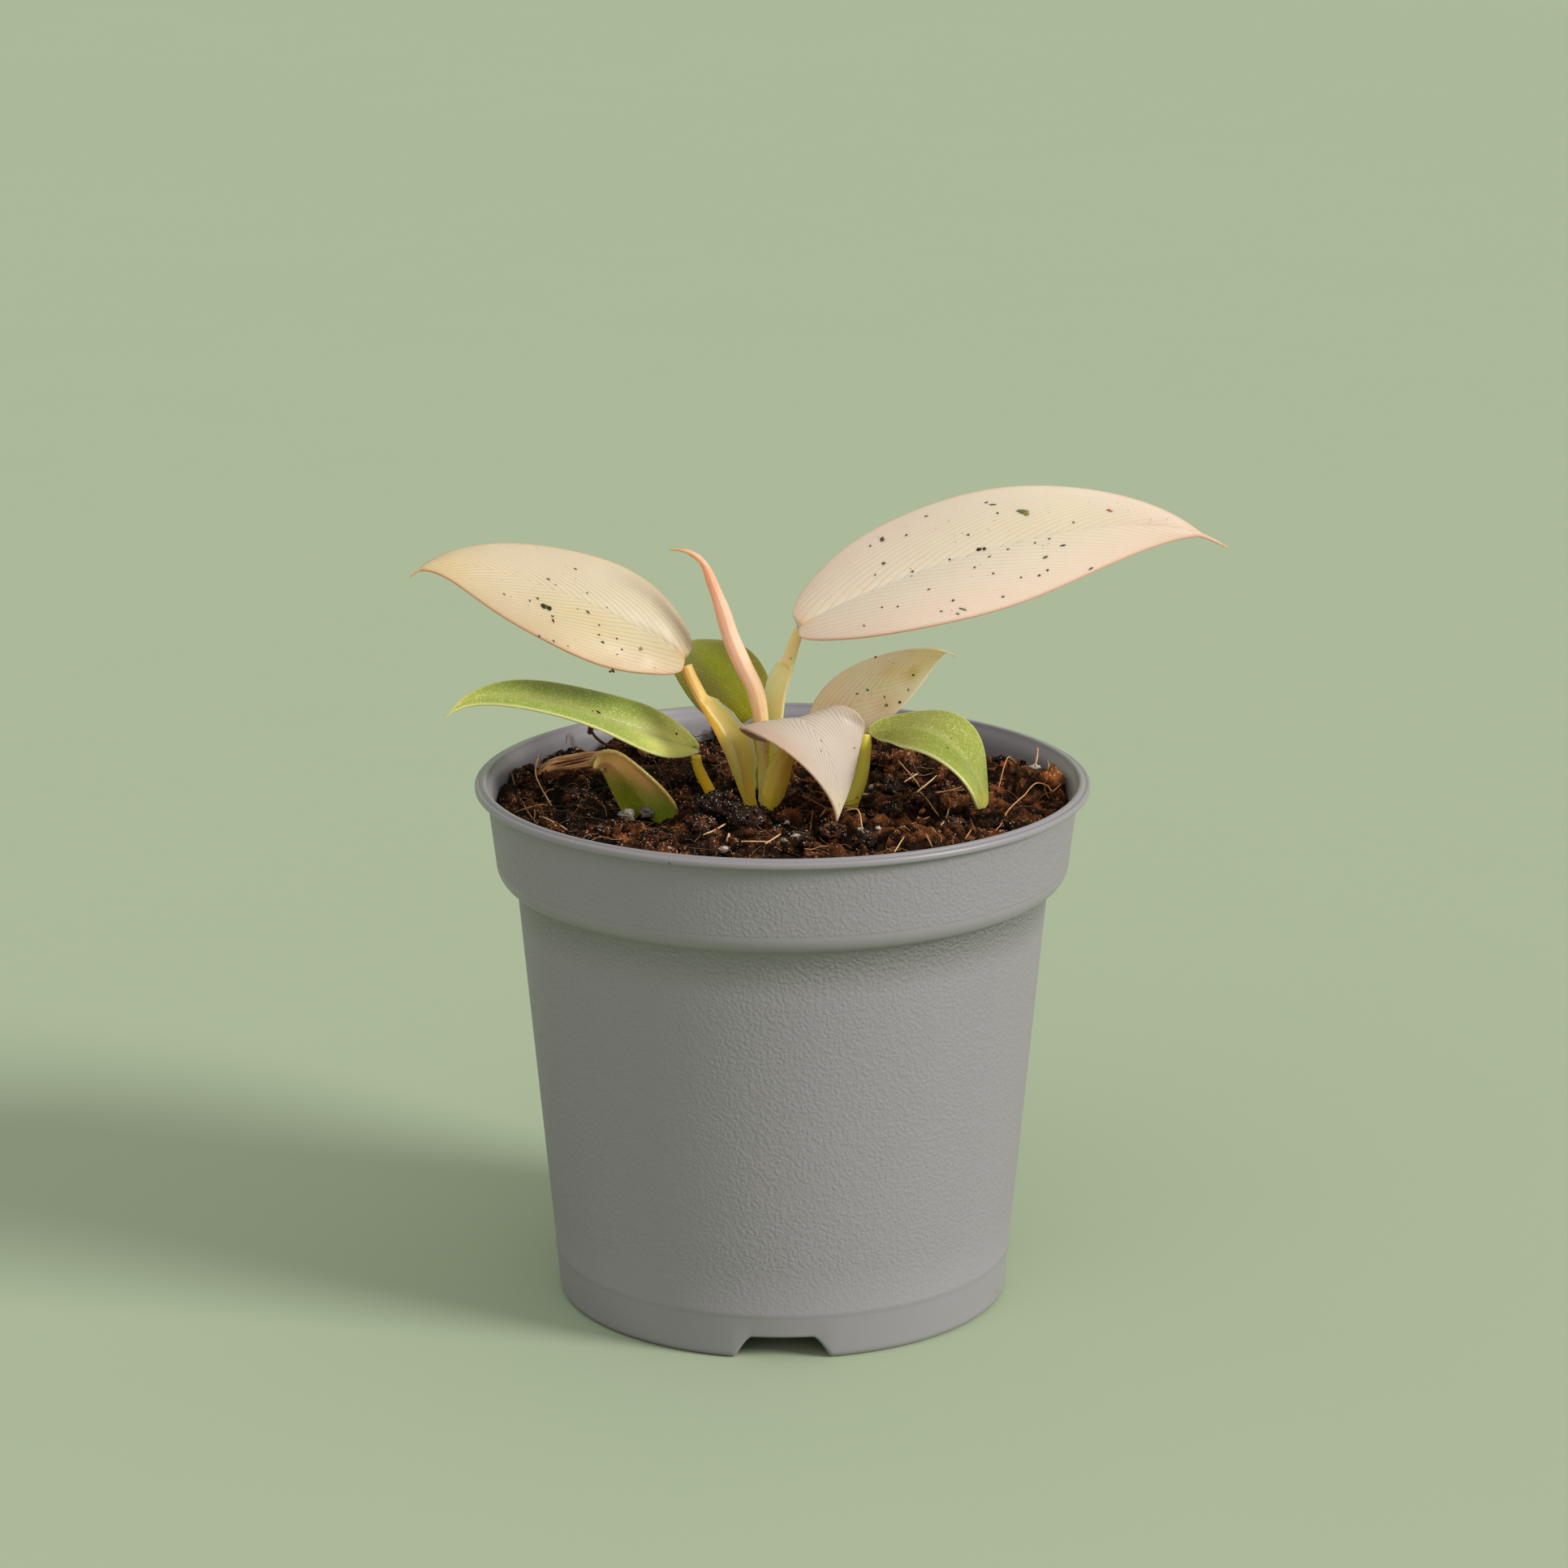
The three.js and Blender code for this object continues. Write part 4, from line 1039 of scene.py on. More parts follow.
@dataclass
class Stalk:
    """A leaf stalk or the rolled leaf: rings square to its path, a crescent where it is an open sheath.

    Each row of form is a share of the length with half width, half depth, hollow and cup.
    """

    name: str
    slot: str
    path: tuple[Point, ...]
    open: Point
    form: tuple[tuple[float, ...], ...]
    finish: StalkFinish
    paint: Colour
    washes: tuple[Wash, ...] = ()
    rolled: bool = False
    ribs: float = 0.03
    rib_count: int = 9
    rows: int = 110
    sides: int = 48

    def form_at(self, s: np.ndarray) -> np.ndarray:
        """Values of the form table at share s, eased between its rows."""
        rows = np.array(self.form)
        high = np.clip(np.searchsorted(rows[:, 0], s), 1, len(rows) - 1)
        low = high - 1
        t = smooth(np.clip((s - rows[low, 0]) / (rows[high, 0] - rows[low, 0]), 0, 1))
        return blend(rows[low, 1:], rows[high, 1:], t[:, None])

    def surface(self) -> Surface:
        """Carry the cross-section along the path.

        A ring's point is the centre, plus reach to the open side, plus half width times sine to the side.
        Reach is depth times cosine, cut by hollow on the open side, plus cup times half width times sine
        squared.

        Returns:
            The stalk's surface, with its share along and its angle as coordinates.
        """
        s = np.linspace(0, 1, self.rows)
        centre, along, _ = by_length(spline_line(self.path), s)
        front = unit(self.open) - (unit(self.open) * along).sum(-1, keepdims=True) * along
        front = unit(front)
        side = np.cross(along, front)
        width, depth, hollow, cup = self.form_at(s).T[..., None]
        angle = circle(self.sides)[None, :]
        inward = np.where(np.cos(angle) > 0, 1 - hollow, 1.0)
        flute = 1 + self.ribs * np.cos(self.rib_count * angle + 0.6 * np.sin(7 * s[:, None]))
        if self.rolled:
            lap = (angle / (2 * math.pi) + 0.55 + 0.5 * s[:, None]) % 1.0
            flute = flute * (0.94 + 0.14 * lap)
        reach = depth * np.cos(angle) * inward * flute + cup * width * np.sin(angle) ** 2
        across = width * np.sin(angle) * flute
        rings = centre[:, None] + reach[..., None] * front[:, None] + across[..., None] * side[:, None]
        share, turn = np.broadcast_arrays(s[:, None], angle / (2 * math.pi))
        paint = np.broadcast_to(np.array(self.paint), (*share.shape, 3)).copy()
        for wash in self.washes:
            paint = wash.over(paint, share, np.sin(angle))
        points, faces = lofted(rings)
        own = np.stack([share, np.abs(2 * turn - 1)], -1)
        return Surface(points, faces, uv=with_ends(own), values={Layer.PAINT: with_ends(paint)}).facing_out()

    def build(self, effects: Effects) -> Piece:
        """Build the stalk and dress it."""
        skins = [self.finish.build(effects)]
        return make_piece(f"{self.name}_skin", self.surface(), skins, (self.name,))


# Pot

@dataclass
class Pot:
    """The nursery pot: a fine turned wall with rounded lip, bull nose, grain line and notched foot ring."""

    rim_radius: float = 60.0
    rim_height: float = 104.2
    lip_depth: float = 1.8
    lip_width: float = 2.3
    lip_round: float = 0.6
    edge_round: float = 0.35
    collar_top: float = 57.7
    collar_low: float = 56.0
    collar_low_height: float = 88.2
    body_top: float = 52.1
    body_top_height: float = 84.3
    body_low: float = 45.1
    line_height: float = 9.2
    line_relief: float = 0.16
    line_width: float = 0.4
    foot_radius: float = 42.9
    foot_round: float = 1.6
    foot_wall: float = 1.7
    foot_fillet: float = 1.4
    wall: float = 1.15
    underside: float = 4.6
    floor: float = 5.9
    floor_fillet: float = 1.5
    pad_radius: float = 7.0
    pad_flare: float = 0.8
    pad_round: float = 0.4
    notch_top: float = 12.0
    notch_foot: float = 18.5
    notch_height: float = 4.3
    notch_reach: float = 8.0
    notch_count: int = 3
    drain_count: int = 6
    drain_radius: float = 3.0
    drain_circle: float = 27.0
    turns: int = 220
    drain_sides: int = 32
    foot_rows: int = 60
    finish: PlasticFinish = PlasticFinish()

    def body_radius(self, z: float) -> float:
        """Outside radius of the tapered body at a height."""
        share = (z - self.line_height) / (self.body_top_height - self.line_height)
        return self.body_low + (self.body_top - self.body_low) * share

    def inner_radius(self, z: float) -> float:
        """Inside radius at a height."""
        if z <= self.body_top_height - self.wall:
            return self.body_radius(z) - self.wall
        share = (z - self.collar_low_height) / (self.rim_height - self.lip_depth - self.collar_low_height)
        return self.collar_low + (self.collar_top - self.collar_low) * share - self.wall

    def profile(self) -> tuple[np.ndarray, np.ndarray]:
        """Radius and height round the wall's section from pad to floor, and how grained each point is."""
        rows: list[tuple[float, float, float]] = []

        def line(to_r: float, to_z: float, steps: int, grain: float = 0.0) -> None:
            """Add steps along a straight run to a point."""
            r, z, _ = rows[-1]
            shares = [k / steps for k in range(1, steps + 1)]
            rows.extend((r + (to_r - r) * share, z + (to_z - z) * share, grain) for share in shares)

        def arc(r: float, z: float, radius: float, start: float, end: float, steps: int) -> None:
            """Add a round corner from one angle to another, in degrees."""
            turns = np.radians(np.linspace(start, end, steps + 1))
            rows.extend((r + radius * math.cos(t), z + radius * math.sin(t), 0.0) for t in turns)

        bull = self.collar_low - self.body_top
        lip_low, lip_in = self.rim_height - self.lip_depth, self.rim_radius - self.lip_width
        foot_in, edge = self.foot_radius - self.foot_wall, self.edge_round
        pad_edge = self.pad_radius - self.pad_round
        rows.append((pad_edge, 0.0, 0.0))
        arc(pad_edge, self.pad_round, self.pad_round, -90, 0, 3)
        line(self.pad_radius + self.pad_flare, self.underside, 3)
        line(foot_in - self.foot_fillet, self.underside, 10)
        arc(foot_in - self.foot_fillet, self.underside - self.foot_fillet, self.foot_fillet, 90, 0, 5)
        line(foot_in, edge, 2)
        arc(foot_in + edge, edge, edge, 180, 270, 3)
        arc(self.foot_radius, self.foot_round, self.foot_round, -90, -5, 8)
        low, high = self.line_height - self.line_width, self.line_height + self.line_width
        line(self.body_radius(low), low, 12)
        rows.append((self.body_radius(self.line_height) + self.line_relief, self.line_height, 0.0))
        rows.append((self.body_radius(high), high, 0.4))
        line(self.body_top, self.body_top_height, 8, 1.0)
        arc(self.body_top, self.collar_low_height, bull, -86, 0, 12)
        line(self.collar_low + 0.08, self.collar_low_height + 0.7, 2, 1.0)
        line(self.collar_top, lip_low - edge, 4, 1.0)
        arc(self.collar_top + edge, lip_low - edge, edge, 180, 90, 3)
        lip_out = self.rim_radius - self.lip_round
        arc(lip_out, lip_low + self.lip_round, self.lip_round, -90, 0, 4)
        arc(lip_out, self.rim_height - edge - self.lip_round, self.lip_round, 0, 70, 4)
        middle = self.rim_radius - 0.5 * self.lip_width
        line(middle + 0.1, self.rim_height - 0.42, 3)
        line(middle - 0.12, self.rim_height - 0.06, 2)
        arc(lip_in + 0.5, self.rim_height - 0.5, 0.5, 90, 180, 5)
        line(self.collar_top - self.wall, lip_low - 0.4, 3)
        line(self.collar_low - self.wall, self.collar_low_height, 8)
        arc(self.body_top - self.wall, self.collar_low_height, bull, -10, -75, 6)
        for height, steps in ((self.body_top_height - self.wall, 1), (self.floor + self.floor_fillet, 6)):
            line(self.inner_radius(height), height, steps)
        corner = self.inner_radius(self.floor) - self.floor_fillet
        arc(corner, self.floor + self.floor_fillet, self.floor_fillet * 0.98, -5, -90, 5)
        line(8.0, self.floor, 10)
        table = np.array(rows)
        return table[:, :2], table[:, 2]

    def notch(self, angle: np.ndarray) -> np.ndarray:
        """Height of the foot's cut at each angle: a flat top, then a quadratic curve down on both sides."""
        step = 2 * math.pi / self.notch_count
        nearest = (angle + math.pi / 2 + step / 2) % step - step / 2
        across = np.abs(np.tan(nearest) * self.foot_radius)
        t = np.linspace(0, 1, 40)
        top, foot = self.notch_top / 2, self.notch_foot / 2
        shoulder = top + (foot - top) * 0.4
        x = (1 - t) ** 2 * top + 2 * t * (1 - t) * shoulder + t**2 * foot
        z = (1 - t) ** 2 * self.notch_height + 2 * t * (1 - t) * 0.8 * self.notch_height
        return np.interp(across, x, z, right=0.0)

    def angles(self) -> np.ndarray:
        """Angles of the lathe: even turns, with finer ones across each notch."""
        even = circle(self.turns)
        reach = 0.56 * self.notch_foot / self.foot_radius
        fine = [
            -math.pi / 2 + 2 * math.pi * k / self.notch_count + np.linspace(-reach, reach, 41)
            for k in range(self.notch_count)
        ]
        every = np.sort(np.concatenate([even, *fine]) % (2 * math.pi))
        return every[np.concatenate([[True], np.diff(every) > 1e-3])]

    def surface(self) -> Surface:
        """Turn the section round the axis.

        Under the grain line the foot is pressed up to the notch's height at each angle: z becomes notch plus
        z times one less notch over the band's height, so the cut keeps its wall and its rounded edges.
        """
        section, grained = self.profile()
        angle = self.angles()
        r, z = section[:, 0, None], section[:, 1, None]
        notch = self.notch(angle)[None, :]
        order = np.arange(len(section))[:, None]
        outer = order > np.argmax(section[:, 0] >= self.foot_radius - 1e-6)
        band = np.where(outer, self.line_height - 0.6, self.underside)
        cut = (r > self.foot_radius - self.notch_reach / 2) & (z < band) & (order < self.foot_rows)
        height = np.where(cut, notch + z * (1 - notch / band), z)
        rings = np.stack([r * np.cos(angle), r * np.sin(angle), height], -1)
        points, faces = lofted(rings)
        hub = len(points) - 1
        points[hub - 1] = (0, 0, 0)
        points[hub] = (0, 0, self.floor)
        grain = with_ends(np.broadcast_to(grained[:, None], rings.shape[:2]))[:, 0]
        return Surface(points, faces, values={Layer.GRAIN: grain}).facing_out()

    def drill(self, pot: Piece) -> None:
        """Cut the ring of drain holes through the floor with a Boolean modifier, then apply it."""
        angle = circle(self.drain_sides)
        height = np.array([[self.underside - 1], [self.floor + 1]])
        parts = []
        for turn in circle(self.drain_count):
            x = self.drain_circle * math.cos(turn) + self.drain_radius * np.cos(angle)
            y = self.drain_circle * math.sin(turn) + self.drain_radius * np.sin(angle)
            parts.append(Surface(*lofted(np.stack(np.broadcast_arrays(x, y, height), -1))).facing_out())
        holes = joined(parts)
        mesh = bpy.data.meshes.new("drain_cutter")
        faces = [list(dict.fromkeys(face)) for face in holes.faces.tolist()]
        mesh.from_pydata((holes.points * MM).tolist(), [], faces)
        cutter = placed("drain_cutter", mesh)
        cut = pot.modifiers.new("drains", "BOOLEAN")
        cut.object, cut.operation, cut.solver = cutter, "DIFFERENCE", "EXACT"
        bpy.context.view_layer.update()
        cut_mesh = bpy.data.meshes.new_from_object(pot.evaluated_get(bpy.context.evaluated_depsgraph_get()))
        pot.modifiers.clear()
        pot.data = cut_mesh
        bpy.data.objects.remove(cutter)

    def build(self, effects: Effects) -> Piece:
        """Build the pot, drill it and dress it."""
        skins = [self.finish.build(effects)]
        pot = make_piece("pot_skin", self.surface(), skins, ("pot",))
        self.drill(pot)
        return pot


# Potting mix

@dataclass(frozen=True)
class Fibre:
    """A coir fibre: its way over the mix in x, y and lift above the bed, and its half thickness."""

    way: tuple[Point, ...]
    radius: float
    colour: Colour = tone(196, 146, 96)


@dataclass(frozen=True)
class Lump:
    """A named lump on the mix: x, y, how far its middle stands above the bed, and its half sizes."""

    x: float
    y: float
    lift: float
    size: Point
    colour: Colour
    seed: int


def soil_surface(points: np.ndarray, faces: np.ndarray, paint: np.ndarray, depth: np.ndarray) -> Surface:
    """Close a surface of the mix, with one paint or a paint a corner, and its painted shade value, which
    darkens the hollows and undersides.
    """
    paint = np.broadcast_to(np.array(paint), (len(points), 3))
    return Surface(points, faces, values={Layer.PAINT: paint, Layer.PAINTED_SHADE: depth}).facing_out()


POLE_GAP = 0.18


def lump_shape(rows: int, columns: int) -> np.ndarray:
    """Directions of a ball's corners in rings from pole to pole."""
    polar = np.linspace(POLE_GAP, math.pi - POLE_GAP, rows)[:, None]
    turn = circle(columns)[None, :]
    parts = (np.sin(polar) * np.cos(turn), np.sin(polar) * np.sin(turn), np.cos(polar))
    return np.stack(np.broadcast_arrays(*parts), -1)


def turned(draw: np.random.Generator, count: int) -> np.ndarray:
    """Draw random turns as unit quaternions and return their matrices."""
    w, x, y, z = unit(draw.normal(size=(count, 4))).T
    rows = [
        [1 - 2 * (y * y + z * z), 2 * (x * y - w * z), 2 * (x * z + w * y)],
        [2 * (x * y + w * z), 1 - 2 * (x * x + z * z), 2 * (y * z - w * x)],
        [2 * (x * z - w * y), 2 * (y * z + w * x), 1 - 2 * (x * x + y * y)],
    ]
    return np.moveaxis(np.array(rows), -1, 0)


@dataclass
class PottingMix:
    """The mix: a torn bed that keeps the solid's relief, with crumbs, lumps, fibres and grit lying on it."""

    pot: Pot
    fibres: tuple[Fibre, ...]
    lumps: tuple[Lump, ...]
    grit: tuple[Lump, ...]
    level: float = 98.6
    gap: float = 0.3
    waves: tuple[tuple[float, ...], ...] = (
        (0.7, 0.21, 0.17, 1.3), (0.5, 0.31, 0.43, 0.2), (0.45, -0.62, 0.55, 2.1),
    )
    clods: tuple[tuple[float, ...], ...] = (
        (-12.5, -11, 2.6, 5.5), (-7, -13.5, 2.2, 4.5), (-17, -3.5, 1.4, 5), (4, -9, 1.3, 6),
        (12, -16, 1.6, 6), (23, -6, 1.4, 7), (32, -21, 1.2, 8), (40, 12, 1.8, 9), (-38, -8, 1.2, 8),
        (-33, 15, 1.5, 8), (-8, 24, 1.8, 10), (17, 27, 1.6, 9), (-22, -30, 1, 8), (2, -32, 1.2, 8),
        (46, -8, 1, 7), (-2, 42, 1.2, 8),
    )
    heaps: tuple[tuple[float, ...], ...] = (
        (-55, 7, 2.6, 6), (-53, 18, 2.6, 5), (-45, 33, 2.6, 6), (50, 14, 1.8, 9), (-30, 44, 2, 8),
    )
    chip_bed: tuple[float, ...] = (-41.4, 21.0, 9.5, 5.5)
    chip_calm: float = 0.85
    chip_sink: float = 0.9
    calm_reach: float = 6.0
    noise_level: float = 3.7
    bend_size: float = 3.1
    bend_reach: float = 1.5
    clump_size: float = 6.5
    clump_height: float = 3.4
    clump_level: float = 0.55
    ridge_size: float = 2.6
    ridge_height: float = 2.2
    ridge_level: float = 0.25
    cloud_size: float = 1.3
    cloud_height: float = 0.9
    hollow_shade_reach: float = 1.25
    patch_size: float = 7.0
    rings: int = 164
    sectors: int = 470
    crumb_count: int = 2800
    crumb_span: tuple[float, float] = (0.2, 0.85)
    chunk_count: int = 300
    chunk_span: tuple[float, float] = (0.8, 2.1)
    coat_span: tuple[float, float] = (0.25, 0.75)
    coat_density: float = 9.0
    squash_span: tuple[float, float] = (0.35, 1.45)
    tan_from: float = 0.975
    stray_fibres: int = 300
    stray_length: tuple[float, float] = (2.5, 9.0)
    stray_radius: tuple[float, float] = (0.04, 0.1)
    stray_bend: float = 0.5
    wall_gap: float = 0.6
    fibre_lift: float = 0.35
    brown: Colour = tone(84, 46, 23)
    # Span in millimetres over which the mix paint goes lighter and redder to the right: painted shade that
    # darkens the left, where leaves shade the mix.
    left_shade_span: float = 120.0
    red_brown: Colour = tone(142, 82, 42)
    black: Colour = tone(29, 17, 8)
    tan: Colour = tone(176, 122, 80)
    strand_dark: Colour = tone(70, 40, 24)
    strand_pale: Colour = tone(200, 150, 100)
    seed: int = 29

    @property
    def top_radius(self) -> float:
        """Radius of the mix's top, clear of the wall."""
        return self.pot.inner_radius(self.level) - self.gap

    def relief(self, x: np.ndarray, y: np.ndarray) -> np.ndarray:
        """Height of the solid's relief: a level with slow waves that calm down at the wall, and clods."""
        inside = self.pot.inner_radius(self.level) - np.hypot(x, y)
        slow = sum(tall * np.sin(kx * x + ky * y + phase) for tall, kx, ky, phase in self.waves)
        clods = self.clods + self.heaps
        lumps = sum(tall * np.exp(-((x - east) ** 2 + (y - north) ** 2) / reach**2)
                    for east, north, tall, reach in clods)
        return self.level + slow * blend(0.4, 1.0, eased(inside / self.calm_reach)) + lumps

    def noise_places(self, x: np.ndarray, y: np.ndarray) -> np.ndarray:
        """Places on the one level at which the bed reads its noise."""
        return np.stack([x, y, np.full(np.shape(x), self.noise_level)], -1)

    def bed(self, x: np.ndarray, y: np.ndarray) -> np.ndarray:
        """Height of the torn bed: the relief, with clumps parted by creases and torn by cloudy noise."""
        flat = self.noise_places(x, y)
        sways = [value_noise(flat / self.bend_size, self.seed + k) for k in (21, 22, 23)]
        bent = flat + self.bend_reach * np.stack(sways, -1)
        clumps = np.sqrt(np.abs(fractal(bent / self.clump_size, 2, self.seed))) - self.clump_level
        ridged = np.abs(fractal(bent / self.ridge_size, 3, self.seed + 4)) - self.ridge_level
        cloudy = fractal(flat / self.cloud_size, 3, self.seed + 9, gain=0.62)
        torn = self.clump_height * clumps + self.ridge_height * ridged + self.cloud_height * cloudy
        cx, cy, half_x, half_y = self.chip_bed
        under_chip = np.exp(-((((x - cx) / half_x) ** 2 + ((y - cy) / half_y) ** 2) ** 2))
        return self.relief(x, y) + torn * (1 - self.chip_calm * under_chip) - self.chip_sink * under_chip

    def bed_surface(self) -> Surface:
        """Lay the bed over rings and sectors, then down the wall and across the floor."""
        pot, slack, angle = self.pot, 3 * self.gap, circle(self.sectors)[None, :]
        r = self.top_radius * np.linspace(1, 0.004, self.rings)[:, None] ** 0.8
        x, y = r * np.cos(angle), r * np.sin(angle)
        z = self.bed(x, y)
        wall = [pot.floor + pot.floor_fillet, pot.body_top_height - 2 * pot.wall, pot.collar_low_height]
        corner = pot.inner_radius(pot.floor) - pot.floor_fillet - slack
        radii = [pot.drain_circle / 2, corner, *[pot.inner_radius(height) - slack for height in wall]]
        radii, heights = np.array(radii)[:, None], np.array([pot.floor + self.gap] * 2 + wall)[:, None]
        low = np.stack(np.broadcast_arrays(radii * np.cos(angle), radii * np.sin(angle), heights), -1)
        points, faces = lofted(np.concatenate([low, np.stack([x, y, z], -1)]))
        # Painted shade: the bed darkens where it dips below the smooth relief.
        hollow = 0.92 * eased((self.relief(x, y) - z) / self.hollow_shade_reach + 0.52)
        cloud = fractal(self.noise_places(x, y) / self.patch_size, 3, self.seed + 3)
        # Partly painted shade: black to red brown in cloudy patches, and also darker to the left, where the
        # leaves shade the mix.
        patch = eased(0.5 + x / self.left_shade_span + 0.9 * cloud)[..., None]
        paint = blend(np.array(self.black), 0.7 * np.array(self.red_brown), patch)
        # Painted shade: the bed down the wall and over the floor is darkened.
        depth = np.concatenate([np.full(low.shape[:2], 0.8), hollow])
        colours = np.concatenate([np.broadcast_to(np.array(self.brown), low.shape), paint])
        return soil_surface(points, faces, with_ends(colours), with_ends(depth)[:, 0])

    def scatter(self, draw: np.random.Generator, count: int) -> tuple[np.ndarray, np.ndarray]:
        """Draw places spread evenly over the top."""
        r = (self.top_radius - 1.0) * np.sqrt(draw.uniform(0, 1, count))
        turn = draw.uniform(0, 2 * math.pi, count)
        return r * np.cos(turn), r * np.sin(turn)

    def crumbs(
        self,
        places: np.ndarray,
        size: np.ndarray,
        shape: tuple[int, int],
        rough: float,
        dark: float,
        seed: int,
    ) -> Surface:
        """Set uneven crumbs at places: torn balls drawn long or flat, and turned at random.

        Args:
            places: their middles.
            size: the half size of each.
            shape: rings and corners a ring of each.
            rough: how far noise moves their corners in and out.
            dark: the share of black ones.
            seed: picks another draw.

        Returns:
            All of them as one surface.
        """
        draw = np.random.default_rng(seed)
        count, ball = len(places), lump_shape(*shape)
        ball = np.concatenate([ball.reshape(-1, 3), [[0, 0, 1.0], [0, 0, -1.0]]])
        squash = draw.uniform(*self.squash_span, (count, 1, 3))
        offset = draw.uniform(0, 90, (count, 1, 3))
        uneven = 1 + rough * fractal(ball[None] * 1.9 + offset, 3, seed, 0.75)
        uneven += draw.uniform(-0.3, 0.3, uneven.shape) * rough
        corners = ball[None] * uneven[..., None] * squash * size[:, None, None]
        corners = np.einsum("nij,nkj->nki", turned(draw, count), corners)
        faces = repeated(ring_faces(*shape), len(ball), count)
        # Partly painted shade: crumbs go redder in cloudy patches, and also darker to the left, where the
        # leaves shade the mix.
        patch = 0.45 + places[:, 0] / self.left_shade_span + 1.1 * fractal(places / 9.0, 2, self.seed + 3)
        warm_and_lit = eased(patch)[:, None]
        kind = draw.uniform(0, 1, (count, 1))
        redness = draw.uniform(0, 1, (count, 1)) ** 2 * warm_and_lit
        brown = blend(np.array(self.brown), np.array(self.red_brown), redness)
        colour = np.where(kind < dark, np.array(self.black), brown)
        colour = np.where(kind > self.tan_from, np.array(self.tan), colour)
        # Painted light: each crumb is painted brighter towards the right.
        colour = colour * draw.uniform(0.5, 1.2, (count, 1)) * (1 + 0.3 * places[:, :1] / self.top_radius)
        # Painted shade: under darkens each crumb's lower side.
        under = 0.9 * eased(0.55 - corners[..., 2] / (1.5 * size[:, None])).reshape(-1)
        points = (corners + places[:, None]).reshape(-1, 3)
        return soil_surface(points, faces, np.repeat(colour, len(ball), axis=0), under)

    def strewn(self, count: int, low: float, high: float, seed: int) -> tuple[np.ndarray, np.ndarray]:
        """Draw places on the bed, and sizes of which most are near the low one."""
        draw = np.random.default_rng(seed)
        size = low * (high / low) ** (draw.uniform(0, 1, count) ** 2.0)
        x, y = self.scatter(draw, count)
        return np.stack([x, y, self.bed(x, y) + size * draw.uniform(-0.35, 0.35, count)], -1), size

    def coating(self, seed: int) -> tuple[np.ndarray, np.ndarray]:
        """Draw places on the upper side of the black lumps, more on the bigger ones, with small sizes."""
        draw = np.random.default_rng(seed)
        places = []
        for lump in self.lumps:
            count = int(self.coat_density * lump.size[0] * lump.size[1])
            away = unit(draw.normal(size=(count, 3)) + np.array([0, 0, 0.4]))
            away = away * draw.uniform(0.86, 1.0, (count, 1))
            places.append(self.lump_middle(lump) + away * np.array(lump.size))
        places = np.concatenate(places)
        return places, draw.uniform(*self.coat_span, len(places))

    def lump_middle(self, lump: Lump) -> np.ndarray:
        """Middle of a lump: its place, lifted over the smooth relief."""
        height = self.relief(np.array(lump.x), np.array(lump.y)) + lump.lift
        return np.array([lump.x, lump.y, float(height)])

    def lump_surface(self, lump: Lump, rows: int = 24, columns: int = 34, rough: float = 0.6) -> Surface:
        """Build one named lump: a ball with torn noise on its radius, drawn to its sizes."""
        shape = lump_shape(rows, columns)
        torn = 1 + rough * fractal(shape * 1.9, 5, lump.seed, 0.72)
        points, faces = lofted(shape * torn[..., None] * np.array(lump.size) + self.lump_middle(lump))
        # Painted shade: the lump darkens on its underside and in its dents.
        depth = 0.7 * eased(0.45 - shape[..., 2] * 0.9 - (torn - 1) * 1.2)
        return soil_surface(points, faces, lump.colour, with_ends(depth)[:, 0])

    def fibre_surface(self, fibre: Fibre, sides: int = 6, steps: int = 10) -> Surface:
        """Carry a small ring along a fibre's way over the bed, thinner to both ends."""
        way = np.array(fibre.way, float)
        way[:, 2] += self.relief(way[:, 0], way[:, 1]) + self.fibre_lift
        t = np.linspace(0, 1, steps * (len(way) - 1) + 1)
        centre, along, _ = by_length(spline_line(way, steps=20), t)
        read = np.stack([centre[:, 0] * 0.5, centre[:, 1] * 0.5, np.full(len(t), 1.5)], -1)
        centre = centre + 0.1 * value_noise(read, 4)[:, None] * np.array([0.3, 0.3, 1.0])
        side = unit(np.cross(along, np.array([0.12, 0.31, 0.94])))
        second = np.cross(along, side)
        angle = circle(sides)[None, :, None]
        thick = 0.8 * fibre.radius * (0.3 + 0.7 * np.sqrt(np.clip(np.minimum(t, 1 - t) * 8, 0, 1)))
        ring = np.cos(angle) * side[:, None] + np.sin(angle) * second[:, None]
        points, faces = lofted(centre[:, None] + thick[:, None, None] * ring)
        return soil_surface(points, faces, fibre.colour, np.zeros(len(points)))

    def strays(self) -> list[Fibre]:
        """Draw short bent fibres all over the bed, tan to dark brown."""
        draw = np.random.default_rng(self.seed + 2)
        x, y = self.scatter(draw, self.stray_fibres)
        made, rim = [], self.top_radius - self.wall_gap
        for k in range(self.stray_fibres):
            length, turn = draw.uniform(*self.stray_length), draw.uniform(0, 2 * math.pi)
            bend, rise = draw.uniform(-self.stray_bend, self.stray_bend), draw.uniform(-0.4, 1.3)
            ahead = np.array([math.cos(turn), math.sin(turn)])
            aside = np.array([-ahead[1], ahead[0]])
            spots = [ahead * length * t + aside * length * bend * t * (1 - t) for t in (0.0, 0.35, 0.7, 1.0)]
            xy = np.array([x[k], y[k]]) + np.array(spots)
            far = np.hypot(xy[:, 0], xy[:, 1]).max()
            if far > rim:
                xy *= rim / far
            lift = [draw.uniform(-0.3, 0.3), draw.uniform(0.0, 0.6), draw.uniform(0.0, 0.6), rise]
            share = draw.uniform(0, 1) ** 2.4
            colour = blend(np.array(self.strand_dark), np.array(self.strand_pale), share)
            way = tuple((float(p[0]), float(p[1]), float(z)) for p, z in zip(xy, lift))
            made.append(Fibre(way, float(draw.uniform(*self.stray_radius)), tuple(colour)))
        return made

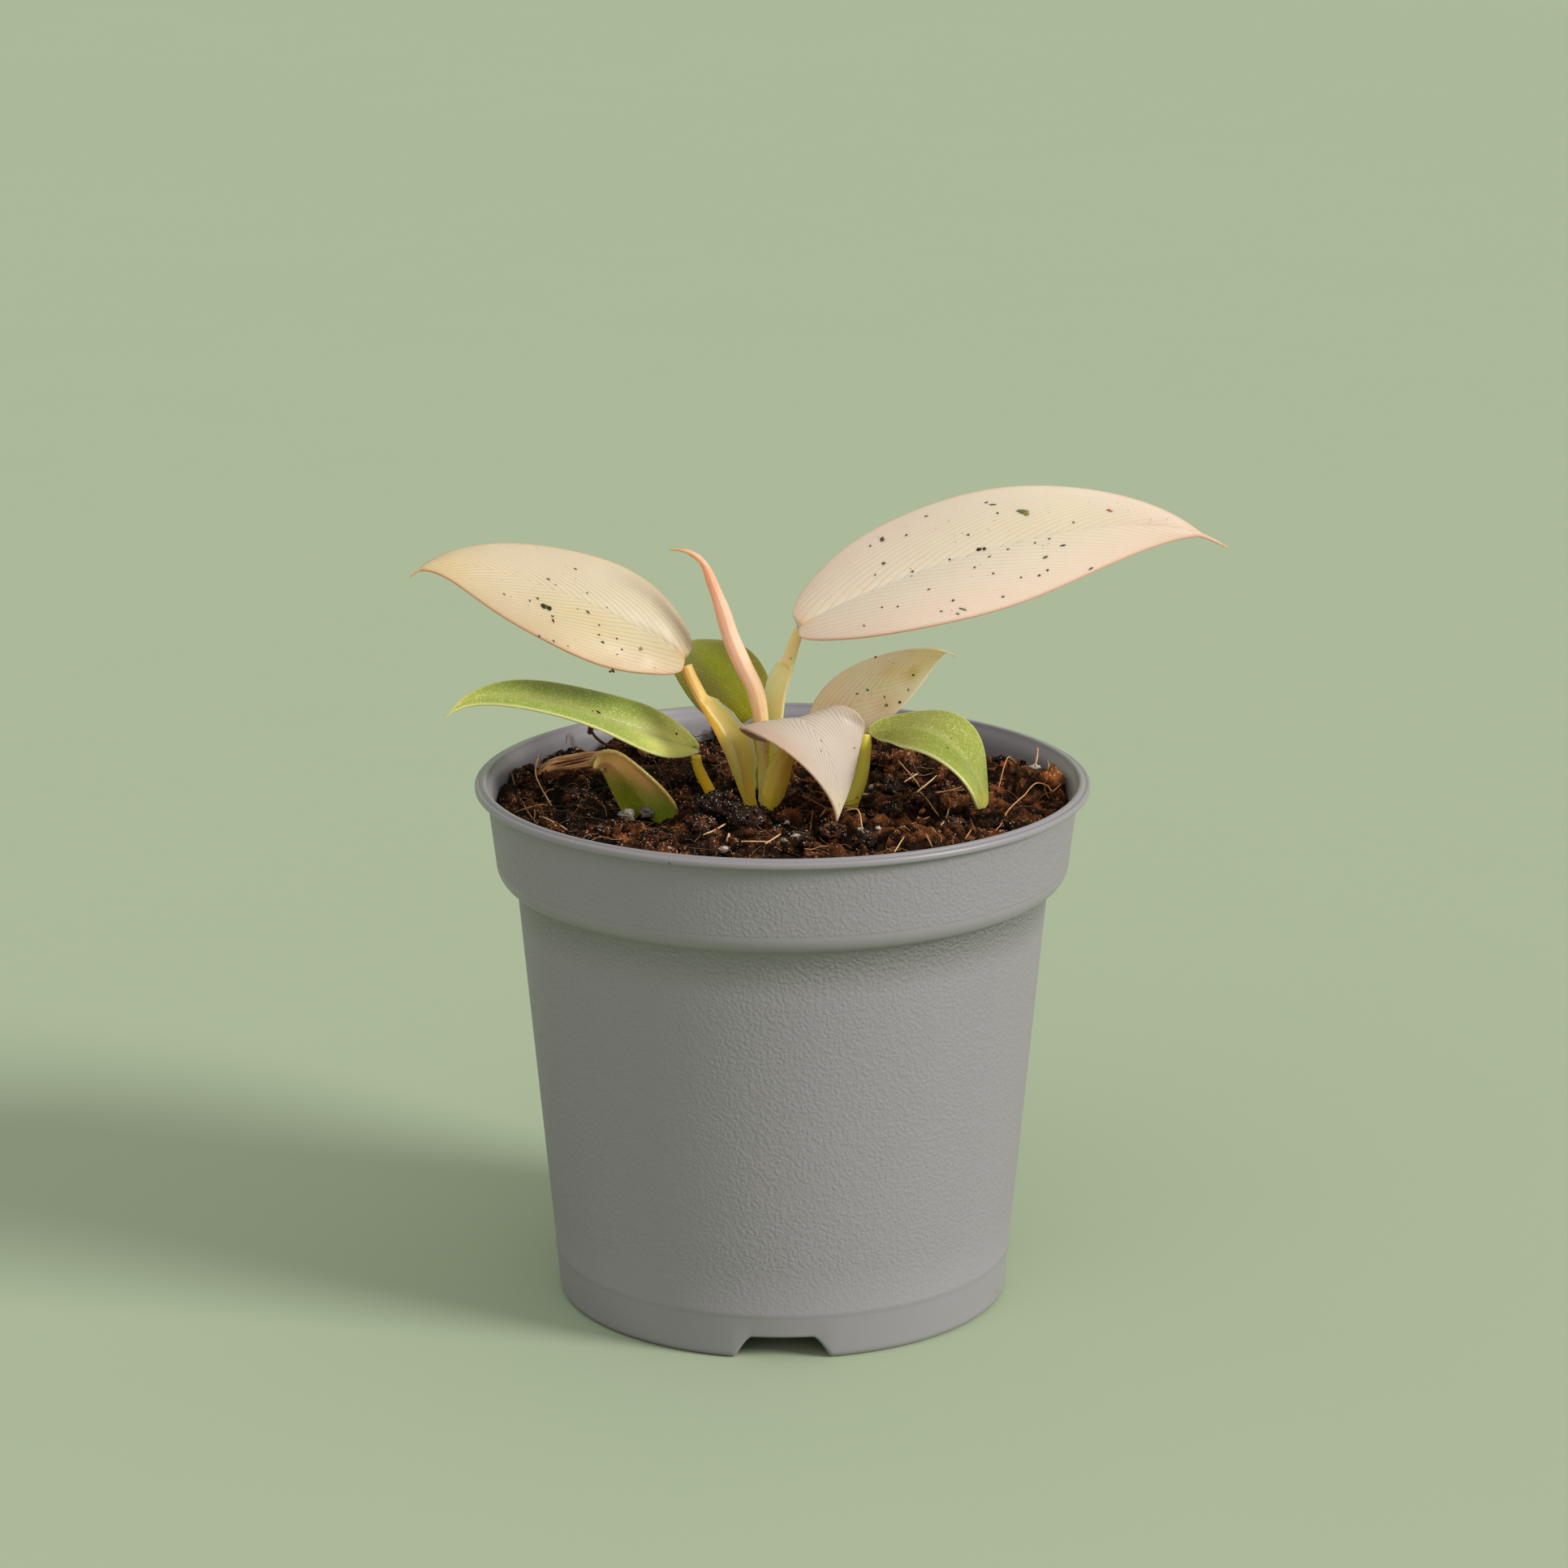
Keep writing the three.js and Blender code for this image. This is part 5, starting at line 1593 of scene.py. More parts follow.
    def build(self, effects: Effects) -> None:
        """Build the bed and what lies on it, and dress each."""
        soil = SoilFinish("potting_soil", grain_share=0.4, bump=0.6).build(effects)
        crumbly = SoilFinish("soil_crumbs", grain_share=0.26, bump=0.4).build(effects)
        wet = SoilFinish(
            "wet_lumps", hollow=tone(6, 4, 3), grain=tone(120, 78, 50), grain_share=0.08, painted_glint_share=0.17,
            bump=0.5, roughness=0.7,
        ).build(effects)
        strand = SoilFinish(
            "coir_fibre", hollow=tone(80, 50, 30), grain_share=0.0, painted_glint_share=0.0, bump=0.05,
            roughness=0.6,
        ).build(effects)
        white = SoilFinish(
            "perlite", hollow=tone(70, 50, 36), grain=tone(110, 80, 56), grain_share=0.4, painted_glint_share=0.0,
            bump=0.4, roughness=0.7,
        ).build(effects)
        slot, seed = "potting_mix", self.seed
        make_piece("mix_bed", self.bed_surface(), [soil], ("potting_mix",))
        spots = self.strewn(self.crumb_count, *self.crumb_span, seed)
        small = self.crumbs(*spots, shape=(4, 6), rough=0.9, dark=0.45, seed=seed)
        make_piece("mix_crumbs", small, [crumbly], even=False)
        spots = self.strewn(self.chunk_count, *self.chunk_span, seed + 1)
        large = self.crumbs(*spots, shape=(9, 12), rough=1.1, dark=0.4, seed=seed + 1)
        make_piece("mix_chunks", large, [crumbly])
        coat = self.crumbs(*self.coating(seed + 4), shape=(4, 6), rough=0.9, dark=0.8, seed=seed + 4)
        lumps = [self.lump_surface(lump) for lump in self.lumps]
        make_piece("mix_lumps", joined([coat, *lumps]), [wet])
        fibres = [self.fibre_surface(fibre) for fibre in self.fibres]
        strays = [self.fibre_surface(fibre, sides=5, steps=5) for fibre in self.strays()]
        make_piece("mix_fibres", joined(fibres + strays), [strand])
        grit = [self.lump_surface(grain, rows=16, columns=24, rough=1.2) for grain in self.grit]
        make_piece("mix_perlite", joined(grit), [white])


@dataclass
class HuskChip:
    """The coarse husk chip: a torn slab with long fibrous ridges, turned and half sunk in the mix."""

    place: Point = (-41.4, 22.0, 100.0)
    turn: float = 14.0
    tilt: float = -8.0
    half: Point = (7.4, 3.0, 2.75)
    colour: Colour = tone(122, 72, 42)
    # pale is the tan of the ridge tops, partly the fibres' own colour and partly painted highlight.
    pale: Colour = tone(226, 172, 120)
    rows: int = 80
    columns: int = 104

    def surface(self) -> Surface:
        """Draw a ball out to a slab by powers of its sines, with ridges that run along it and torn ends."""
        polar = np.linspace(0.02, math.pi - 0.02, self.rows)[:, None]
        angle = circle(self.columns)[None, :]

        def squared(v: np.ndarray, power: float) -> np.ndarray:
            """Raise a sine to a power and keep its sign."""
            return np.sign(v) * np.abs(v) ** power

        x = squared(np.cos(polar), 0.5) * np.ones_like(angle)
        ring = np.abs(np.sin(polar)) ** 0.4
        y, z = ring * squared(np.cos(angle), 0.55), ring * squared(np.sin(angle), 0.6)
        ridges = fractal(np.stack([x * 1.2, y * 5.0, z * 5.0], -1), 4, 41, 0.6)
        torn = fractal(np.stack([x * 0.4, y * 7.0, z * 7.0], -1), 3, 47)
        swell = 1 + 0.2 * ridges + 0.08 * value_noise(np.stack([x * 2, y, z], -1), 5)
        hx, hy, hz = self.half
        taper = 1 - 0.16 * np.clip(x, -1, 1) ** 2
        own = (hx * x * (1 + 0.14 * torn * np.abs(x)), hy * y * swell * taper, hz * z * swell * taper - 0.3)
        tilt, turn = math.radians(self.tilt), math.radians(self.turn)
        ahead = own[0] * math.cos(tilt) + own[2] * math.sin(tilt)
        high = own[2] * math.cos(tilt) - own[0] * math.sin(tilt)
        east = ahead * math.cos(turn) - own[1] * math.sin(turn)
        north = ahead * math.sin(turn) + own[1] * math.cos(turn)
        points, faces = lofted(np.stack([east, north, high], -1) + np.array(self.place))
        # Partly painted highlight: the ridge tops go pale tan, partly their own colour and partly light
        # catching them.
        share = 0.85 * eased(0.5 + 1.4 * ridges)[..., None]
        paint = blend(np.array(self.colour), np.array(self.pale), share)
        # Painted shade: darker in the grooves and towards the underside.
        hollow = 0.8 * eased(0.4 - 2.0 * ridges - 0.4 * z)
        return soil_surface(points, faces, with_ends(paint), with_ends(hollow)[:, 0])

    def build(self, effects: Effects) -> Piece:
        """Build the chip and dress it."""
        finish = SoilFinish(
            "husk_fibre", hollow=tone(34, 18, 11), grain_share=0.06, painted_glint_share=0.0, bump=0.3,
            roughness=0.85,
        )
        skins = [finish.build(effects)]
        return make_piece("husk_chip_skin", self.surface(), skins, ("husk_chip",))


@dataclass
class Rootstocks:
    """The three buried stems, which keep the part's own solids and take a fleshy finish."""

    nodes: Names = ("main_rootstock", "offset_rootstock", "young_rootstock")

    def dress(self, effects: Effects) -> None:
        """Give each solid the finish."""
        skin = RootFinish().build(effects)
        for name in self.nodes:
            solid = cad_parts[name]
            solid.data.materials.clear()
            solid.data.materials.append(skin)
            log.info("%s: kept with a new finish", name)


# The plant's leaves, one by one

def left_leaf() -> Blade:
    """Tall cream leaf at the left, yellow to the tip, with the big dark fleck."""
    flecks = (
        Fleck(0.506, -0.43, 1.15, 0.95, 8, tone(54, 48, 12)),
        Fleck(0.524, -0.44, 1.15, 0.95, 8, tone(54, 48, 12)),
        Fleck(0.515, -0.435, 1.3, 0.7, 8, tone(84, 76, 26)), Fleck(0.548, -0.34, 0.6, 0.5),
        Fleck(0.572, -0.45, 0.4), Fleck(0.525, 0.15, 0.7, 0.4, 10), Fleck(0.498, 0.09, 0.4, 0.3, 0, TAN),
        Fleck(0.445, 0.54, 0.7, 0.35, 20), Fleck(0.488, -0.55, 0.6),
        Fleck(0.482, -0.62, 0.8, 0.4, 60, DARK), Fleck(0.512, -0.97), Fleck(0.462, -0.94),
        Fleck(0.41, -0.91, 0.4, 0.3, 0, TAN), Fleck(0.375, -0.2, 0.8, 0.6, 30), Fleck(0.33, -0.35, 0.4),
        Fleck(0.322, -0.52), Fleck(0.302, -0.62, 0.7, 0.5, 20, DARK), Fleck(0.26, -0.46),
        Fleck(0.232, -0.62), Fleck(0.242, -0.74, 0.4, 0.3), Fleck(0.172, -0.48, 0.9, 0.8, 20, TAN),
        Fleck(0.412, -0.22, 0.4, 0.3, 0, TAN), Fleck(0.318, 0.06, 0.4, 0.3, 0, TAN),
        Fleck(0.392, 0.16, 0.4), Fleck(0.66, -0.55, 0.5, 0.4, 0, TAN),
        Fleck(0.235, -1.03, 0.8, 0.5, 40, DARK), Fleck(0.243, -1.05, 0.5, 0.4, 0, DARK),
    )
    return Blade(
        name="left_leaf", slot="cream_leaf", seed=3,
        rib=(
            (-18.6, -0.9, 127.7), (-29.9, -4, 139), (-44.3, -6.2, 141.9), (-64.8, -8.7, 154.9),
            (-71.7, -12.7, 146.3),
        ),
        side0=(0.15, 0.67, 0.72), side1=(0.2, 0.88, 0.43), half=12.3, a=0.6, b=0.96, fold0=18, fold1=-2,
        curl=0.27, lobe=1, tau=0.05, tail=1.6, wave=0.22, waves=2.2, stray_flecks=46, flecks=flecks,
        paint=tone(206, 191, 164), margin=tone(196, 132, 96), margin_share=0.6,
        washes=(
            Wash((206, 193, 168), 0.25, 0.35, 0.25, 0.5, 0.8),
            Wash((190, 176, 142), 0.08, -0.2, 0.12, 0.9, 0.8),
            Wash((208, 186, 132), 0.92, 0, 0.16, 2, 0.7),
            Wash((204, 174, 132), 0.3, -0.95, 0.5, 0.3, 0.6),
            Wash((198, 184, 136), 0.35, -0.4, 0.22, 0.4, 0.6),
            Wash((196, 150, 78), 0.0, 0, 0.05, 0.5, 0.7), Wash((188, 116, 62), 1.0, 0, 0.035, 2, 0.9),
        ),
        finish=LeafFinish(
            "cream_leaf_skin", vein=tone(160, 134, 98), vein_share=0.6, vein_step=2.5, mottle=0.07,
        ),
    )


def right_leaf() -> Blade:
    """Tall blush leaf at the right, pinker to its margins, with many small flecks."""
    flecks = (
        Fleck(0.24, -0.71, 1.2, 0.9, 70), Fleck(0.212, -0.71), Fleck(0.23, -0.32, 0.7, 0.5),
        Fleck(0.205, -0.21, 0.4), Fleck(0.292, -0.6, 0.6), Fleck(0.342, -0.79, 0.6, 0.4, 0, TAN),
        Fleck(0.285, -0.05), Fleck(0.28, 0.02, 0.4), Fleck(0.315, 0.41, 0.6), Fleck(0.205, 0.49),
        Fleck(0.24, 0.56), Fleck(0.158, 0.77, 0.4, 0.4, 0, TAN), Fleck(0.362, 0.7, 0.6, 0.5),
        Fleck(0.332, 0.82, 0.5, 0.4, 0, TAN), Fleck(0.378, 0.86, 1.6, 0.35, 30, OLIVE),
        Fleck(0.365, 0.91, 0.8, 0.35, 30, OLIVE), Fleck(0.37, -0.04),
        Fleck(0.438, -0.05, 1.0, 0.6, 5, DARK), Fleck(0.449, -0.04, 0.7, 0.5, 0, DARK),
        Fleck(0.422, -0.29), Fleck(0.422, 0.26), Fleck(0.458, 0.14, 0.6), Fleck(0.46, 0.45),
        Fleck(0.47, 0.84, 0.6), Fleck(0.472, -0.74, 0.7, 0.4, 0, OLIVE),
        Fleck(0.485, -0.68, 1.2, 0.4, 10, OLIVE), Fleck(0.492, -0.52),
        Fleck(0.546, -0.47, 2.1, 0.9, 12, tone(124, 122, 52)),
        Fleck(0.552, -0.44, 1.2, 1.0, 80, tone(146, 136, 70)), Fleck(0.592, 0.09),
        Fleck(0.62, 0.29, 1.3, 0.35, 5, DARK), Fleck(0.56, 0.11), Fleck(0.578, 0.43, 1.0, 0.5, 0, OLIVE),
        Fleck(0.578, 0.66, 0.6), Fleck(0.558, 0.7, 0.6), Fleck(0.518, 0.64), Fleck(0.5, 0.1),
        Fleck(0.648, -0.16, 0.5, 0.4, 0, TAN), Fleck(0.725, -0.41, 1.2, 0.5, 20, tone(186, 112, 52)),
        Fleck(0.675, 0.91, 0.8),
    )
    return Blade(
        name="right_leaf", slot="blush_leaf", seed=8,
        rib=(
            (2.6, -1.2, 134.2), (22.9, -2.9, 146), (43.2, -6.3, 152.4), (70.8, -8.2, 162.9),
            (86, -10, 151.3),
        ),
        side0=(0.17, -0.85, -0.51), side1=(-0.19, -0.52, -0.83), half=15.5, a=0.62, b=1.08, fold0=27,
        fold1=3, curl=0.27, lobe=1.2, tau=0.07, tail=2.7, wave=0.25, waves=2.4, rows=180, columns=61,
        stray_flecks=40, flecks=flecks, paint=tone(248, 223, 203), margin=tone(214, 142, 118),
        margin_share=0.6,
        washes=(
            Wash((248, 212, 194), 0.35, 0.85, 0.5, 0.35, 0.7),
            Wash((250, 214, 198), 0.15, -0.8, 0.25, 0.5, 0.6),
            Wash((244, 224, 194), 0.62, -0.3, 0.22, 0.5, 0.6),
            Wash((250, 229, 212), 0.2, 0.0, 0.3, 0.1, 0.7), Wash((228, 202, 186), 0.9, 0, 0.2, 2, 0.6),
            Wash((226, 184, 132), 0.0, 0, 0.04, 0.5, 0.8), Wash((140, 78, 52), 1.0, 0, 0.022, 2, 0.9),
        ),
        finish=LeafFinish(
            "blush_leaf_skin", vein=tone(216, 168, 142), vein_share=0.5, vein_step=3.3, mottle=0.06,
        ),
    )


def low_left_leaf() -> Blade:
    """Long green leaf at the left, with a fine painted sparkle of highlights, a pale band by its rib and a
    cream margin.
    """
    return Blade(
        name="low_left_leaf", slot="green_leaf", seed=5,
        rib=(
            (-15.8, 3, 108.8), (-32.5, -0.2, 114.1), (-42, -7.6, 121.9), (-58.3, -7.6, 127.4),
            (-65.3, -13.4, 118.7),
        ),
        side0=(-0.72, 0.03, 0.69), side1=(-0.94, 0.26, 0.22), half=7, a=0.8, b=1.32, fold0=24, fold1=10,
        curl=0.14, lobe=0.1, tau=0.01, tail=1.8, wave=0.1, waves=2, rows=130, columns=47,
        flecks=(
            Fleck(0.402, 0.12, 1.3, 0.5, 15, DARK), Fleck(0.425, 0.1, 0.6, 0.25),
            Fleck(0.105, 0.41, 0.5, 0.5, 0, DARK), Fleck(0.03, 0.1, 0.8, 0.6, 0, tone(120, 120, 60)),
        ),
        paint=tone(144, 160, 66), margin=tone(214, 212, 150), margin_share=0.8,
        washes=(
            # Painted light: the base is washed pale to make up for the shade that the leaves above cast on
            # it.
            Wash((240, 236, 132), 0.08, 0.0, 0.16, 1.4, 0.9),
            Wash((132, 150, 54), 0.4, 0.6, 0.4, 0.4, 0.6),
            Wash((182, 184, 116), 0.4, -0.1, 0.5, 0.22, 0.6),
            Wash((164, 170, 92), 0.6, 0.0, 0.3, 0.5, 0.5), Wash((196, 190, 84), 0.97, 0, 0.12, 2, 0.8),
            Wash((96, 70, 30), 1.0, 0, 0.02, 2, 0.9), Wash((150, 160, 70), 0.0, 0, 0.06, 1, 0.7),
        ),
        finish=LeafFinish(
            "green_leaf_skin", vein=tone(108, 144, 48), vein_share=0.14, mottle=0.22, roughness=0.44,
            painted_sparkle=tone(226, 226, 160), painted_sparkle_share=0.34, glow=0.5,
        ),
    )


def back_leaf() -> Blade:
    """Olive leaf behind the crown, with a bright band towards its base."""
    return Blade(
        name="back_leaf", slot="olive_leaf", seed=6,
        rib=(
            (-5.6, 6.4, 114.1), (-7.5, 5.3, 117.4), (-18.2, 9.7, 132.2), (-21.2, 22.7, 125.3),
            (-15.6, 33.8, 123.2),
        ),
        side0=(0.98, -0.08, 0.19), side1=(1, 0.01, 0.09), half=7.7, a=0.4, b=1, fold0=-2, fold1=7,
        curl=0.1, lobe=0.2, tau=0.06, tail=1, wave=0.1, waves=2, rows=110, columns=45,
        paint=tone(152, 144, 30), margin=tone(160, 156, 84), margin_share=0.4,
        washes=(
            Wash((148, 150, 84), 0.5, -0.5, 0.3, 0.5, 0.6), Wash((178, 188, 4), 0.3, 0.1, 0.3, 0.3, 0.8),
            Wash((200, 198, 40), 0.05, 0, 0.14, 1, 0.7),
        ),
        finish=LeafFinish(
            "olive_leaf_skin", vein=tone(96, 116, 28), vein_share=0.2, mottle=0.2, roughness=0.4,
            painted_sparkle=tone(200, 206, 120), painted_sparkle_share=0.2, glow=0.5,
        ),
    )


def rear_right_leaf() -> Blade:
    """Cream leaf mottled with green behind the right side, with a brown hooked tip."""
    return Blade(
        name="rear_right_leaf", slot="cream_leaf", seed=11,
        rib=(
            (7.5, 7.8, 110.3), (11, 7.8, 117.5), (24.2, 4.5, 121.6), (30.9, 0.4, 133.3),
            (33.6, -1.9, 128.1),
        ),
        side0=(0.62, -0.32, -0.72), side1=(0.62, -0.31, -0.72), half=6.7, a=0.51, b=1.03, fold0=16,
        fold1=5, curl=0.1, lobe=0.7, tau=0.07, tail=0.7, wave=0.12, waves=2, rows=120, columns=51,
        stray_flecks=12,
        flecks=(
            Fleck(0.52, 0.82, 0.6, 0.6, 0, DARK), Fleck(0.672, 0.38, 0.6, 0.35, 20, DARK),
            Fleck(0.455, 0.36, 0.4), Fleck(0.388, -0.14, 0.6, 0.4, 60, OLIVE),
            Fleck(0.325, -0.21, 0.5, 0.4, 0, OLIVE), Fleck(0.532, -0.98),
            Fleck(0.602, 0.71, 0.5, 0.4, 0, TAN), Fleck(0.442, 0.6, 0.7, 0.5, 30, OLIVE),
        ),
        # Partly painted light: the paint is pushed near white, brighter than the leaf's own cream, to make
        # up for the shade on the leaf.
        paint=tone(255, 232, 204), margin=tone(244, 206, 182), margin_share=0.5,
        washes=(
            Wash((252, 232, 188), 0.55, 0.0, 0.3, 0.4, 0.6),
            Wash((206, 200, 92), 0.68, 0.3, 0.06, 0.3, 0.8),
            Wash((230, 216, 146), 0.56, -0.35, 0.07, 0.25, 0.7),
            Wash((226, 206, 140), 0.44, 0.6, 0.08, 0.3, 0.6),
            Wash((252, 232, 168), 0.85, 0, 0.14, 2, 0.7), Wash((250, 226, 196), 0.3, -0.6, 0.3, 0.4, 0.6),
            Wash((252, 220, 180), 0.1, 0, 0.2, 2, 0.6), Wash((150, 96, 44), 1.0, 0, 0.05, 2, 0.9),
        ),
        finish=LeafFinish(
            "mottled_cream_leaf_skin", vein=tone(186, 170, 104), vein_share=0.5, vein_step=2.6,
            mottle=0.18, roughness=0.45, freckle=tone(186, 178, 100), freckle_share=0.05, glow=0.95,
            reach=0.8,
        ),
    )


def front_leaf() -> Blade:
    """Small pale leaf that bends forward over the crown, with fine veins and a pink lower margin."""
    return Blade(
        name="front_leaf", slot="blush_leaf", seed=13,
        rib=(
            (3.7, -1.5, 115.1), (2.1, -4.1, 118.5), (3.4, -11, 119.2), (12.6, -15.5, 113.6),
            (10.3, -20.2, 100.2),
        ),
        side0=(-0.87, -0.48, -0.12), side1=(-0.41, -0.59, 0.69), half=13.4, a=0.53, b=1.35, fold0=4,
        fold1=2, curl=0.14, lobe=0.5, tau=0.01, tail=2.3, wave=0.12, waves=2, rows=130, columns=55,
        vein_reach=1.8, stray_flecks=8,
        flecks=(
            Fleck(0.218, 0.64, 1.4, 0.3, 60), Fleck(0.44, -0.01, 0.5, 0.4, 0, TAN),
            Fleck(0.525, 0.18, 0.4, 0.4, 0, TAN), Fleck(0.478, -0.81, 0.8, 0.4, 30, TAN),
        ),
        paint=tone(198, 184, 169), margin=tone(190, 150, 128), margin_share=0.6,
        washes=(
            Wash((196, 162, 138), 0.4, 0.95, 0.3, 0.3, 0.7),
            Wash((205, 191, 177), 0.4, -0.3, 0.2, 0.4, 0.7), Wash((226, 208, 168), 0.95, 0, 0.14, 2, 0.8),
            Wash((120, 76, 34), 1.0, 0, 0.03, 2, 0.9),
        ),
        finish=LeafFinish(
            "pale_leaf_skin", vein=tone(140, 116, 98), vein_share=0.8, vein_step=2.6, mottle=0.06,
        ),
    )


def low_right_leaf() -> Blade:
    """Green leaf at the right that arches over and down to a blunt yellowish tip."""
    return Blade(
        name="low_right_leaf", slot="green_leaf", seed=17,
        rib=(
            (16.2, 0.1, 113.6), (27.1, -1.2, 113.6), (27.8, -9.8, 121.5), (40.4, -14.4, 107.7),
            (38.2, -15.1, 101.6),
        ),
        side0=(-0.82, -0.12, -0.56), side1=(-0.19, -0.81, 0.56), half=10.4, a=0.89, b=0.42, fold0=9,
        fold1=5, curl=0.13, lobe=0, tau=0.01, tail=1.2, wave=0.08, waves=2, rows=130, columns=47,
        last=0.991,
        flecks=(
            Fleck(0.608, 0.3, 0.9, 0.6, 20, tone(96, 112, 40)), Fleck(0.54, -0.12, 0.4, 0.4, 0, OLIVE),
        ),
        paint=tone(146, 154, 54), margin=tone(216, 216, 158), margin_share=0.8,
        washes=(
            Wash((164, 166, 88), 0.3, -0.4, 0.3, 0.5, 0.6), Wash((120, 130, 22), 0.7, 0.2, 0.2, 0.5, 0.7),
            Wash((184, 184, 112), 0.45, 0.0, 0.4, 0.14, 0.6), Wash((186, 184, 88), 0.97, 0, 0.08, 2, 0.8),
            Wash((168, 170, 60), 0.0, 0, 0.08, 2, 0.8),
        ),
        finish=LeafFinish(
            "bright_green_leaf_skin", vein=tone(112, 146, 50), vein_share=0.14, mottle=0.2,
            roughness=0.34, painted_sparkle=tone(226, 226, 160), painted_sparkle_share=0.34, glow=0.5,
        ),
    )


def young_leaf() -> Blade:
    """Bent young leaf of the small shoot: a tan dome, a near face painted dark olive, partly its own green
    and partly painted shade, and an olive ridge.
    """
    return Blade(
        name="young_leaf", slot="olive_leaf", seed=19,
        rib=(
            (-22.7, -9.1, 95.4), (-26, -11.3, 103.2), (-31.5, -12.1, 108), (-32.6, -12.3, 113.9),
            (-36.7, -12.7, 109.2),
        ),
        side0=(-0.8, 0.34, -0.49), side1=(0.06, 0.69, -0.72), half=6.1, a=0.35, b=0.49, fold0=9, fold1=15,
        curl=0.28, lobe=0.2, tau=0.01, tail=0.8, wave=0.05, waves=2, rows=110, columns=45, thickness=0.9,
        flecks=(
            Fleck(0.718, 0.46, 0.8, 0.5, 20, DARK), Fleck(0.535, -0.12, 0.5, 0.4, 0, DARK),
            Fleck(0.4, 0.1, 0.3, 0.3),
        ),
        paint=tone(160, 162, 50), margin=tone(142, 120, 62), margin_share=0.95,
        washes=(
            # Partly painted shade: the dark olive of the near face is partly its own green and partly shade
            # painted in.
            Wash((126, 134, 4), 0.45, 0.5, 0.3, 0.6, 0.9),
            Wash((236, 204, 128), 0.55, -0.6, 0.26, 0.45, 0.85),
            Wash((140, 168, 40), 0.15, -0.5, 0.2, 0.6, 0.8), Wash((255, 204, 132), 0.95, 0, 0.25, 2, 1.0),
            Wash((255, 214, 140), 0.8, -0.5, 0.14, 0.7, 0.9), Wash((176, 196, 50), 0.0, 0, 0.08, 2, 0.7),
        ),
        finish=LeafFinish(
            "young_leaf_skin", vein=tone(118, 126, 40), vein_share=0.12, mottle=0.3, roughness=0.36,
            painted_sparkle=tone(224, 216, 140), painted_sparkle_share=0.12, glow=0.9,
        ),
    )


LEAVES = (
    left_leaf, right_leaf, low_left_leaf, back_leaf, rear_right_leaf, front_leaf, low_right_leaf, young_leaf,
)


